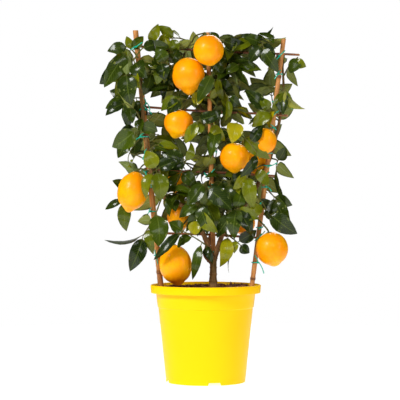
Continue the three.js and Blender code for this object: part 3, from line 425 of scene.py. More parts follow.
# A point given as x from an upright, depth, and height above the soil.
def grown(name, point):
    x, y, above = point
    z = trellis["soilLevel"] + above
    return np.array([caneX(name, z) + x, y, z], float)


# A cane follows a straight line with a faint sway and gets thinner upwards. Its radius is raised by a bell
# at each node and lowered by another beside it, a scar lies by the node, and the cut top is hollow.
def caneShape(name, seed):
    p = trellis
    z0 = p["caneFoot"]
    z1 = z0 + (p["caneTop"] - z0) * p["tall"][name]
    z = np.linspace(z0, z1, p["caneRows"])
    share = (z - z0) / (z1 - z0)
    sway = p["sway"] * np.sin(share * math.pi * p["swayWaves"] + seed)
    path = np.stack([caneX(name, z), sway * 0.4, z], -1)
    radius = p["diameter"][name] / 2 * (1.01 - 0.07 * share)
    near = np.stack([np.abs(z - ring) for ring in p["rings"][name]]).min(0)
    radius = (radius + p["nodeSwell"] * bell(near, p["nodeWidth"])
              - p["waist"] * bell(near - p["waistAway"], p["waistWidth"]))
    lip = path[-1:] + np.array([[0, 0, 0.0], [0, 0, 0.25], [0, 0, 0.25], [0, 0, -p["boreDepth"]]])
    path = np.vstack([path, lip])
    radius = np.concatenate([radius, radius[-1] * np.array([0.99, 0.93, p["bore"], 0.4])])
    turn = roundSteps(p["caneSides"])[None]
    around = np.stack(np.broadcast_arrays(np.cos(turn) * 9, np.sin(turn) * 9, path[:, 2:] * 0.3), -1)
    lumps = 1 + 0.018 * np.sin(2 * turn + seed) + 0.02 * ripple(around, 14, seed)
    scar = np.concatenate([bell(near - p["scarAway"], p["scarWidth"]), np.zeros(4)])[:, None]
    cutEnd = np.concatenate([np.zeros(len(z)), [0, 0.8, 1, 0.4]])[:, None]
    return sweep(path, radius[:, None] * lumps, p["caneSides"], {"scar": scar, "cutEnd": cutEnd})


# The two ends of a crossbar, from its heights above the soil and its stubs past the outer canes.
def crossbarEnds(name):
    left, right, leftStub, rightStub = trellis["crossbars"][name]
    zLeft, zRight = left + trellis["soilLevel"], right + trellis["soilLevel"]
    return np.array([[caneX("left", zLeft) - leftStub, trellis["crossbarDepth"], zLeft],
                     [caneX("right", zRight) + rightStub, trellis["crossbarDepth"], zRight]])


# Crossbars are thinner and less even, with a slight bow and one faint node.
def crossbarShape(name, seed):
    p = trellis
    start, end = crossbarEnds(name)
    share = np.linspace(0, 1, p["barRows"])[:, None]
    path = start + (end - start) * share
    path[:, 2:] += p["bow"] * np.sin(share * 7 + seed)
    radius = p["crossbarDiameter"] / 2 * (1 - 0.06 * share[:, 0])
    near = np.abs(share[:, 0] - p["barNode"] - 0.05 * seed)
    radius = radius + p["barNodeSwell"] * bell(near, 0.008) + p["barLumps"] * ripple(path, 40, seed)
    scar = bell(near - 0.006, 0.006)[:, None]
    cutEnd = (np.abs(share - 0.5) > 0.499).astype(float)
    return sweep(path, radius, p["barSides"], {"scar": scar, "cutEnd": cutEnd})


for seed, name in enumerate(("left", "centre", "right")):
    makePiece("cane" + name.capitalize(), caneShape(name, seed + 1), caneTan, ["cane_" + name])
for seed, name in enumerate(trellis["crossbars"]):
    makePiece("crossbar" + name[-1], crossbarShape(name, seed + 1), caneRed, [name])
print("trellis built")


pot = {
    "rimRadius": 102.5, "baseRadius": 73.5, "height": 180, "wall": 2, "shoulder": 137, "shoulderStep": 1.3,
    "neckRadius": 92, "neckHeight": 163, "throatRadius": 95.78, "throatHeight": 172, "skirtBottom": 165,
    "lip": 2.2, "floor": 5, "notchWidth": 22, "notchTurn": 13, "notches": 4,
    "holeRadius": 5.5, "holeCircle": 40, "sides": 240,
}


# The pot's section runs up the outside, over the rolled lip and down the inside. Offsets of under a
# millimetre round its edges. The foot ring is lifted to the floor's height wherever a notch passes.
def potShape():
    p = pot
    wall = lambda z: p["baseRadius"] + (p["neckRadius"] - p["baseRadius"]) * z / p["neckHeight"]
    step = p["shoulder"]
    side = np.linspace(6, step - 2, 14)
    lipTurn = np.radians(np.linspace(0, 180, 13))
    lipMiddle = p["rimRadius"] - p["lip"]
    mouth = p["rimRadius"] - 2.4 * p["lip"]
    profile = [(0, p["floor"]), (60, p["floor"]), (p["baseRadius"] - p["wall"], p["floor"] - 0.02),
               (p["baseRadius"] - p["wall"], 0.4), (p["baseRadius"] - p["wall"] + 0.3, 0),
               (p["baseRadius"] - 0.4, 0), (p["baseRadius"], 0.5)]
    profile += [(wall(z) - p["shoulderStep"] * z / step, z) for z in side]
    profile += [(wall(step) - p["shoulderStep"], step), (wall(step) - p["shoulderStep"] * 0.8, step + 0.7),
                (wall(step + 2) - 0.2, step + 1.6), (wall(step + 2.6), step + 2.6), (wall(150), 150),
                (p["neckRadius"], p["neckHeight"]), (p["throatRadius"], p["throatHeight"]),
                (p["rimRadius"] - 2.9, p["throatHeight"]), (p["rimRadius"] - 3.2, p["skirtBottom"] + 1),
                (p["rimRadius"] - 2.9, p["skirtBottom"]), (p["rimRadius"] - 1.3, p["skirtBottom"]),
                (p["rimRadius"] - 0.9, p["skirtBottom"] + 0.5)]
    profile += [(lipMiddle + p["lip"] * math.cos(a), p["height"] - p["lip"] + p["lip"] * math.sin(a))
                for a in lipTurn]
    profile += [(mouth, p["height"] - p["lip"] - 1.5), (p["neckRadius"] - p["wall"], p["neckHeight"]),
                (wall(step + 2) - p["wall"], step + 2), (wall(step) - p["shoulderStep"] - p["wall"], step),
                (p["baseRadius"] - p["wall"] - p["shoulderStep"], p["floor"] + p["wall"]),
                (0, p["floor"] + p["wall"])]
    profile = np.array(profile)
    shape = turned(profile[1:-1], p["sides"])
    x, y, z = shape["points"].T
    foot = (z < p["floor"] - 0.03) & (np.hypot(x, y) > 65)
    quarter = 2 * math.pi / p["notches"]
    bearing = np.arctan2(x, -y) - math.radians(p["notchTurn"])
    away = np.abs((bearing + quarter / 2) % quarter - quarter / 2) * p["baseRadius"]
    shape["points"][:, 2] = np.where(foot & (away < p["notchWidth"] / 2), p["floor"] - 0.03, z)
    return shape


# The drain holes are cut by round bars through the floor, and the bars are then thrown away.
def cutDrainHoles(piece):
    for k in range(pot["notches"]):
        bearing = math.radians(pot["notchTurn"] + 45 + 90 * k)
        bpy.ops.mesh.primitive_cylinder_add(
            radius=pot["holeRadius"] * 0.001, depth=0.02, vertices=48,
            location=(pot["holeCircle"] * 0.001 * math.sin(bearing),
                      -pot["holeCircle"] * 0.001 * math.cos(bearing), 0.006))
        bar = bpy.context.object
        cut = piece.modifiers.new("drainHole", "BOOLEAN")
        cut.operation, cut.object, cut.solver = "DIFFERENCE", bar, "EXACT"
        bpy.context.view_layer.objects.active = piece
        bpy.ops.object.modifier_apply(modifier=cut.name)
        bpy.data.objects.remove(bar)


potPiece = makePiece("potShell", potShape(), potYellow, ["pot"], smoothBelow=28)
cutDrainHoles(potPiece)
print("pot built")


soil = {
    "edge": 96.6, "level": 175, "rows": 60, "sides": 200,
    "wall": [(91.0, 163), (86.9, 139), (84, 125), (69.9, 7.4), (0.5, 7.4)],
    "lumps": ((3.2, 46, 3), (2.2, 15, 4), (1.3, 6, 5)),
    "clump": (57, 41), "clumpRadius": 23, "clumpHeight": 5,
    "collar": (14, -13.5), "collarRadius": 16, "collarHeight": 2.5,
    "crumbs": 520, "crumbSizes": (0.8, 2.6), "chips": 90, "chipSizes": (2.4, 5.2), "seed": 11,
}


# Height of the soil: three sizes of lump (height, length and seed), which fade by half at the edge, a mound
# at the back right, and a low bell round the trunk.
def soilTop(x, y):
    points = np.stack([x, y, np.zeros_like(x)], -1)
    away = ((x - soil["clump"][0]) ** 2 + (y - soil["clump"][1]) ** 2) / soil["clumpRadius"] ** 2
    trunkAway = np.hypot(x - soil["collar"][0], y - soil["collar"][1])
    edge = smoothStep(80, 96, np.hypot(x, y))
    lumps = sum(height * ripple(points, size, seed) for height, size, seed in soil["lumps"])
    return (soil["level"] - 0.8 + lumps * (1 - 0.5 * edge) + soil["clumpHeight"] * np.clip(1 - away, 0, 1)
            + soil["collarHeight"] * bell(trunkAway, soil["collarRadius"]))


# The soil's rings run from the middle of its top outwards, down along the pot's wall and in below.
def soilShape():
    sides, wall = soil["sides"], soil["wall"]
    radius = np.concatenate([[0.5], np.linspace(0, 1, soil["rows"])[1:] ** 0.8 * soil["edge"]])
    turn = roundSteps(sides)
    x, y = radius[:, None] * np.cos(turn), radius[:, None] * np.sin(turn)
    top = np.stack([x, y, soilTop(x, y)], -1)
    below = turned(wall, sides)["points"][:-2].reshape(len(wall), sides, 3)
    return closedSurface(np.concatenate([top, below]))


# Crumbs and bark chips: one small ball of five rings, knocked out of round and scattered over the soil.
def crumbShapes(count, sizes, seed, flat):
    draws = np.random.default_rng(seed)
    rise = np.radians([-80, -40, 0, 40, 80])
    turn = roundSteps(6)
    ball = np.stack([np.cos(rise)[:, None] * np.cos(turn), np.cos(rise)[:, None] * np.sin(turn),
                     np.broadcast_to(np.sin(rise)[:, None], (5, 6))], -1)
    shapes = []
    for _ in range(count):
        reach, bearing = soil["edge"] * 0.97 * math.sqrt(draws.random()), draws.uniform(0, 2 * math.pi)
        x, y = reach * math.cos(bearing), reach * math.sin(bearing)
        axes = np.linalg.qr(draws.normal(size=(3, 3)))[0]
        size = draws.uniform(*sizes) * np.array([1, draws.uniform(0.5, 0.9), draws.uniform(*flat)])
        grain = (ball * draws.uniform(0.72, 1.2, (5, 6, 1)) * size) @ axes
        top = soilTop(np.array(x), np.array(y))
        shapes.append(closedSurface(grain + np.array([x, y, top + size.min() * 0.35])))
    return joinShapes(shapes)


makePiece("soilBed", soilShape(), soilBrown, ["soil"], smoothBelow=60)
crumbs = crumbShapes(soil["crumbs"], soil["crumbSizes"], soil["seed"], (0.5, 0.9))
chips = crumbShapes(soil["chips"], soil["chipSizes"], soil["seed"] + 1, (0.25, 0.4))
makePiece("soilCrumbs", joinShapes([crumbs, chips]), soilBrown, smoothBelow=25)
print("soil built")

# Each stem: its route as (upright, x, depth, height above the soil), and its diameter at both ends. "young"
# is how green each stem's bark is at its start.
wood = {
    "sides": 18, "rows": 26, "flare": 2.2, "flareHeight": 9, "budSwell": 0.16,
    "young": (0.0, 0.05, 0.1, 0.1, 0.55, 0.6),
    "stems": [
        ([("centre", -2, -13.5, -60), ("centre", -2, -13.5, 0), ("centre", -1, -13.5, 35),
          ("centre", 0, -12.5, 58)], 15, 12.6),
        ([("centre", -1, -13, 46), ("centre", -9, -14, 76), ("centre", -23, -16, 110),
          ("centre", -48, -18, 147), ("left", 21, -17, 170), ("left", 5, -15, 205), ("left", 1, -13.5, 250),
          ("left", -1, -13, 310), ("left", 0, -13, 370), ("left", 2, -12.5, 420)], 10, 4),
        ([("centre", -1, -13, 44), ("centre", -14, -4, 60), ("centre", -11, 10, 74), ("centre", -3, 19, 96),
          ("centre", 1, 18.5, 140), ("centre", 1, 18.5, 200), ("centre", 3, 18.5, 260),
          ("centre", 9, 18, 320), ("centre", 16, 18, 380), ("centre", 20, 17, 420)], 10, 4),
        ([("centre", 0, -13, 46), ("centre", 9, -13, 75), ("centre", 23, -11, 110), ("centre", 40, 1, 130),
          ("centre", 57, 14, 148), ("right", -18, 15, 177), ("right", -8, 15.5, 205), ("right", 4, 15.5, 240),
          ("right", 10, 15, 280), ("right", 13, 14.5, 325), ("right", 12, 14, 370), ("right", 4, 13.5, 418)],
         10, 4),
        ([("centre", 7, 18, 300), ("centre", -22, 14, 345), ("centre", -44, 14, 395),
          ("centre", -46, 13, 430), ("centre", -32, 13, 458)], 6, 4),
        ([("centre", 13, 18, 360), ("centre", 44, 16, 420), ("centre", 74, 15.5, 446),
          ("centre", 100, 15.5, 449), ("centre", 126, 14.5, 446)], 5, 3.6),
    ],
}


# A stem tapers evenly, swells a little at its old buds and is lumpy. The lowest one flares by a bell where
# it enters the soil.
def stemShape(route, startSize, endSize, young, seed):
    shares = np.linspace(0, 1, wood["rows"] * len(route))
    path = alongCurve([grown(name, place) for name, *place in route], shares)
    radius = (startSize + (endSize - startSize) * shares) / 2
    if seed == 0:
        radius = radius + wood["flare"] * bell(path[:, 2] - trellis["soilLevel"], wood["flareHeight"])
    buds = np.abs((shares * len(route) * 2.3 + 0.4) % 1 - 0.5) * 2
    radius = radius * (1 + wood["budSwell"] * bell(1 - buds, 0.12))
    turn = roundSteps(wood["sides"])[None]
    around = np.stack(np.broadcast_arrays(np.cos(turn) * 5, np.sin(turn) * 5, path[:, 2:] * 0.35), -1)
    lumps = 1 + 0.12 * ripple(around, 11, seed + 20) + 0.07 * ripple(around, 4, seed + 40)
    youth = (young + (1 - young) * 0.4 * shares)[:, None]
    return sweep(path, radius[:, None] * lumps, wood["sides"], {"young": youth})


stemShapes = [stemShape(*stem, young, seed)
              for seed, (stem, young) in enumerate(zip(wood["stems"], wood["young"]))]
makePiece("trunkWood", joinShapes(stemShapes), barkBrown, ["trunk"], smoothBelow=60)
print("wood built")


# Each lemon: upright, middle (x, depth, height), diameter, length, nipple, (tip right, tip forward), the
# swelling of its stalk end, and the stalk's route back to the wood.
lemons = {
    "sides": 72, "rows": 60, "fullness": 0.92, "tipReach": 0.3, "neckReach": 0.34,
    "groove": 0.06, "grooveAt": 0.42, "grooveWidth": 0.13, "dent": 1.6, "dentWidth": 0.12,
    "lobe": 0.24, "lobes": 5, "stalkRadius": 1.3, "stalkSides": 12, "stalkRows": 40,
    "calyx": [(0.4, -0.8), (3.2, -0.7), (4.9, 0.15), (4.4, 0.9), (2.4, 1.3), (0.5, 1.5)],
    "fruit": [
        ("centre", (0, -48, 436), 55, 59, 2, (-10, 0), 0,
         [("centre", -10, -32, 468), ("centre", -24, -2, 466), ("centre", -30.5, 12.5, 457)]),
        ("centre", (-38, -22, 393), 61, 76, 7, (-3, -3), 1,
         [("centre", -42, -10, 438), ("centre", -46, 12, 432)]),
        ("centre", (-58, -25, 304), 55, 60, 5, (18, 0), 0,
         [("centre", -42, -20, 338), ("centre", -37, -2, 352), ("centre", -31, 13, 362)]),
        ("left", (-34, -14, 178), 57, 80, 6, (12.6, 0), 4,
         [("left", -10, -15, 219), ("left", 3, -14.5, 214)]),
        ("centre", (43, -30, 241), 55, 60, 4, (0, 0), 0,
         [("centre", 36, -24, 277), ("centre", 20, -2, 268), ("centre", 4, 16, 262)]),
        ("left", (32, -22, 43), 60, 80, 5, (-8, 0), 2,
         [("left", 38, -23, 100), ("centre", -42, -19, 134), ("centre", -44, -18, 143)]),
        ("right", (27, -26, 72), 59, 66, 3, (-12, 0), 1,
         [("right", 4, -24, 118), ("right", -14, -8, 134), ("centre", 60, 13, 150)]),
        ("centre", (-61, 18, 130), 47, 54, 3, (5, 0), 0,
         [("centre", -62, 4, 170), ("centre", -68, -15, 157)]),
        ("right", (-13, -28, 271), 46, 52, 3, (0, -10), 0,
         [("right", -12, -12, 303), ("right", -8, 9, 302), ("right", 8, 15, 292)]),
        ("right", (-22, 28, 234), 46, 50, 3, (0, 0), 0, [("right", -10, 25, 265), ("right", 5, 17, 255)]),
        ("centre", (-66, 27, 199), 43, 48, 2.5, (0, 0), 0,
         [("centre", -50, 26, 231), ("centre", -25, 21, 225), ("centre", 1, 18, 217)]),
        ("centre", (58, 30, 119), 44, 48, 2.5, (0, 0), 0, [("centre", 59, 18, 152)]),
    ],
}


# Turns upright points by the lemon's tip: first to the right, then forward.
def tipped(points, tip):
    right, front = np.radians(tip)
    x, y, z = points[..., 0], points[..., 1], points[..., 2]
    x, z = x * math.cos(right) + z * math.sin(right), z * math.cos(right) - x * math.sin(right)
    y, z = y * math.cos(front) - z * math.sin(front), y * math.sin(front) + z * math.cos(front)
    return np.stack([x, y, z], -1)


# A lemon is a drawn-out ball: at an angle from the lower end its radius is half the width times a power of
# the sine. The nipple and the neck push the ends out by bell curves, a ring groove sets off the nipple, and
# the stalk sits in a dent. Low waves and ribs keep it from being quite round. The calyx is a lobed disc.
def lemonShape(fruit, seed):
    p = lemons
    name, middle, width, length, nipple, tip, neck, stalk = fruit
    centre = grown(name, middle)
    angle = np.linspace(0.02, math.pi - 0.02, p["rows"])[:, None]
    fromTop = math.pi - angle
    turn = roundSteps(p["sides"])[None]
    radius = width / 2 * np.sin(angle) ** p["fullness"]
    z = (-(length / 2 - nipple) * np.cos(angle) - nipple * bell(angle, p["tipReach"])
         + neck * bell(fromTop, p["neckReach"]))
    radius = radius * (1 - p["groove"] * bell(angle - p["grooveAt"], p["grooveWidth"]))
    z = z - p["dent"] * bell(fromTop, p["dentWidth"])
    way = np.stack(np.broadcast_arrays(np.sin(angle) * np.cos(turn), np.sin(angle) * np.sin(turn),
                                       -np.cos(angle)), -1)
    ribs = 0.006 * np.cos(9 * turn + seed) * (1 - np.sin(angle)) + 0.034 * ripple(way, 2.2, seed)
    radius = radius * (1 + ribs + 0.012 * ripple(way, 0.55, seed + 50))
    body = np.stack(np.broadcast_arrays(radius * np.cos(turn), radius * np.sin(turn), z), -1)
    peel = closedSurface(centre + tipped(body, tip), {"ends": bell(angle, 0.22) + 0.7 * bell(fromTop, 0.3)})

    top = z[-1, 0]
    section = np.array(p["calyx"])
    reach = section[:, :1] * (1 + p["lobe"] * np.cos(p["lobes"] * turn + seed))
    calyx = np.stack(np.broadcast_arrays(reach * np.cos(turn), reach * np.sin(turn),
                                         top + 0.7 + section[:, 1:]), -1)
    disc = closedSurface(centre + tipped(calyx, tip), {"stalk": 1.0})
    up = tipped(np.array([[0, 0, 1.0]]), tip)[0]
    route = [centre + up * top, centre + up * (top + 5)] + [grown(place, point) for place, *point in stalk]
    shares = np.linspace(0, 1, p["stalkRows"])
    rope = sweep(alongCurve(route, shares), p["stalkRadius"] * (1.25 - 0.35 * shares + 0.4 * shares**4),
                 p["stalkSides"], {"stalk": 1.0})
    return joinShapes([peel, disc, rope])


for seed, fruit in enumerate(lemons["fruit"]):
    makePiece(f"lemon{seed + 1}", lemonShape(fruit, seed + 1), peelYellow,
              [f"lemon_{seed + 1}"], smoothBelow=60)
print("lemons built")


# Each tie: the cane it is on, its crossbar or its height above the soil, a stem that is in the loop as well
# (x, depth, radius), and its tail as a way round in degrees and an end. Each of the first fourteen takes the
# place of a node, and the small ones lie between them.
ties = {
    "ringSteps": 72, "loopRows": 64, "loopSides": 10, "twistRows": 30, "tailRows": 46, "tailSides": 8,
    "wireRadius": 1.0, "slack": 0.35, "twistLength": 7, "twistTurns": 1.5, "shortTail": -0.7,
    "places": [
        ("left", "crossbar_1", None, None, (-100, 12, -4, 8)),
        ("left", "crossbar_2", None, None, (-60, 6, -3, -14)),
        ("left", None, 279, (-1, -13.2, 3.4), (-140, -14, -4, -12)),
        ("left", None, 141, None, (-120, -6, -4, -10)),
        ("left", "crossbar_4", None, None, (-120, -8, -3, 5)),
        ("left", None, 59, None, (-100, 2, -4, -16)),
        ("right", "crossbar_1", None, None, (-120, -6, -4, -6)),
        ("right", None, 345, (12, 14.2, 4), (-30, 8, -4, -14)),
        ("right", "crossbar_2", None, None, (-45, 8, -3, -8)),
        ("right", None, 249, None, (-150, -8, -4, -10)),
        ("right", "crossbar_4", None, None, (-60, 5, -4, 6)),
        ("right", None, 46, None, (-60, 9, -4, -20)),
        ("centre", None, 112, None, (-60, 6, -4, 8)),
        ("centre", "crossbar_3", None, None, (-130, -6, -3, 7)),
    ],
    "small": [
        ("left", None, 248, (0, -13.5, 3.6), (-110, -5, -3, -12)),
        ("left", "crossbar_3", None, None, (-120, 4, -3, -10)),
        ("left", None, 190, None, (-70, 5, -4, 7)),
        ("right", "crossbar_3", None, None, (-100, 5, -4, -9)),
        ("right", None, 226, (2, 15.5, 4), (-60, 10, -4, 5)),
        ("right", None, 154, None, (-110, -7, -3, -7)),
        ("right", None, 111, None, (-80, 6, -3, 6)),
        ("centre", None, 258, None, (-70, 5, -3, -9)),
        ("centre", None, 66, None, (-110, -7, -3, 8)),
        ("centre", None, 186, None, (-60, 8, -4, -8)),
        ("centre", "crossbar_1", None, None, (-70, 7, -3, 7)),
        ("left", None, 330, None, (-60, 8, -3, -9)),
        ("left", None, 98, None, (-80, 7, -4, -8)),
        ("right", None, 396, None, (-100, -8, -3, -10)),
        ("right", None, 296, None, (-80, -8, -4, 6)),
        ("right", None, 186, None, (-70, 7, -3, -8)),
    ],
}


# A wire loop pulled round its members: in each direction across the cane it lies on the one that reaches
# furthest. Its ends leave as two wires twisted round each other, and each goes on as a tail. A tie at a
# crossbar lies at a slant, so its ring is wider by the root of two.
def tieShape(on, bar, height, beside, tail):
    p = ties
    wire, reachOut = p["wireRadius"], p["slack"] + p["wireRadius"]
    if bar:
        start, end = crossbarEnds(bar)
        x = caneX(on, (start[2] + end[2]) / 2)
        z = np.interp(x, [start[0], end[0]], [start[2], end[2]])
    else:
        z = trellis["soilLevel"] + height
    centre = np.array([caneX(on, z), 0, z])
    side = np.array([1, 0, 1]) * math.sqrt(0.5) if bar else np.array([1.0, 0, 0])
    deep, upward = np.array([0, 1.0, 0]), np.array([0, 0, 1.0])
    members = [(centre, trellis["diameter"][on] / 2)]
    if bar:
        members.append((centre + deep * trellis["crossbarDepth"], trellis["crossbarDiameter"] / 2))
    elif beside:
        members.append((centre + np.array([beside[0], beside[1], 0]), beside[2]))
    steps = p["ringSteps"]
    flat = np.stack([np.cos(roundSteps(steps)), np.sin(roundSteps(steps))], -1)
    reach, place = [], []
    for middle, radius in members:
        across = np.array([(middle - centre) @ side, (middle - centre) @ deep])
        wide = (radius + reachOut) * np.array([math.sqrt(2) if bar else 1.0, 1])
        size = np.linalg.norm(flat * wide, axis=1)
        reach.append(flat @ across + size)
        place.append(across + flat * wide**2 / size[:, None])
    spot = np.array(place)[np.argmax(reach, 0), np.arange(steps)]
    spot = np.roll(spot, -(int(round(tail[0] % 360 * steps / 360)) % steps), axis=0)
    ring = centre + spot[:, :1] * side + spot[:, 1:] * deep
    loop = alongCurve(np.vstack([ring, ring[:1]]), np.linspace(0, 1, p["loopRows"]))
    parts = [sweep(loop, np.full(p["loopRows"], wire), p["loopSides"])]
    outward = math.cos(math.radians(tail[0])) * side + math.sin(math.radians(tail[0])) * deep
    sideways = unit(np.cross(outward, upward))
    t = np.linspace(0, 1, p["twistRows"])[:, None]
    for phase, share in ((0, 1), (math.pi, p["shortTail"])):
        curl = 2 * math.pi * p["twistTurns"] * t + phase
        strand = (loop[0] + outward * p["twistLength"] * t
                  + wire * (np.cos(curl) * sideways + np.sin(curl) * upward))
        end = strand[-1] + np.array(tail[1:], float) * share
        bend = strand[-1] + (end - strand[-1]) * 0.4 + outward * 2.2
        path = alongCurve(np.vstack([strand[::4], strand[-1:], bend[None], end[None]]),
                          np.linspace(0, 1, p["tailRows"]))
        parts.append(sweep(path, np.full(p["tailRows"], wire * 0.92), p["tailSides"]))
    return joinShapes(parts)


for k, tie in enumerate(ties["places"]):
    makePiece(f"tie{k + 1}", tieShape(*tie), wireGreen, [f"tie_{k + 1}"], smoothBelow=70)
makePiece("tiesSmall", joinShapes([tieShape(*tie) for tie in ties["small"]]), wireGreen,
          smoothBelow=70)
print("ties built")

leaf = {
    "stations": (0, 0.1, 0.13, 0.18, 0.26, 0.37, 0.5, 0.63, 0.76, 0.88, 0.96, 1),
    "plainStations": (0, 0.11, 0.17, 0.28, 0.45, 0.65, 0.86, 1),
    "around": 8, "stalkShare": 0.11, "stalkRadius": 0.8, "thickness": 0.28, "fold": (0.08, 0.4),
    "arch": (0.03, 0.18), "droop": (-0.26, 0.03), "twist": 30, "wave": 0.1, "twigRadius": (1.45, 0.95),
    "rib": 0.9, "ribWidth": 0.2, "sway": 0.05, "twigSides": 8, "twigKnobs": 5, "knob": 0.25,
    "toneRange": (0.0, 0.58), "toneSkew": 1.7, "seed": 4,
}

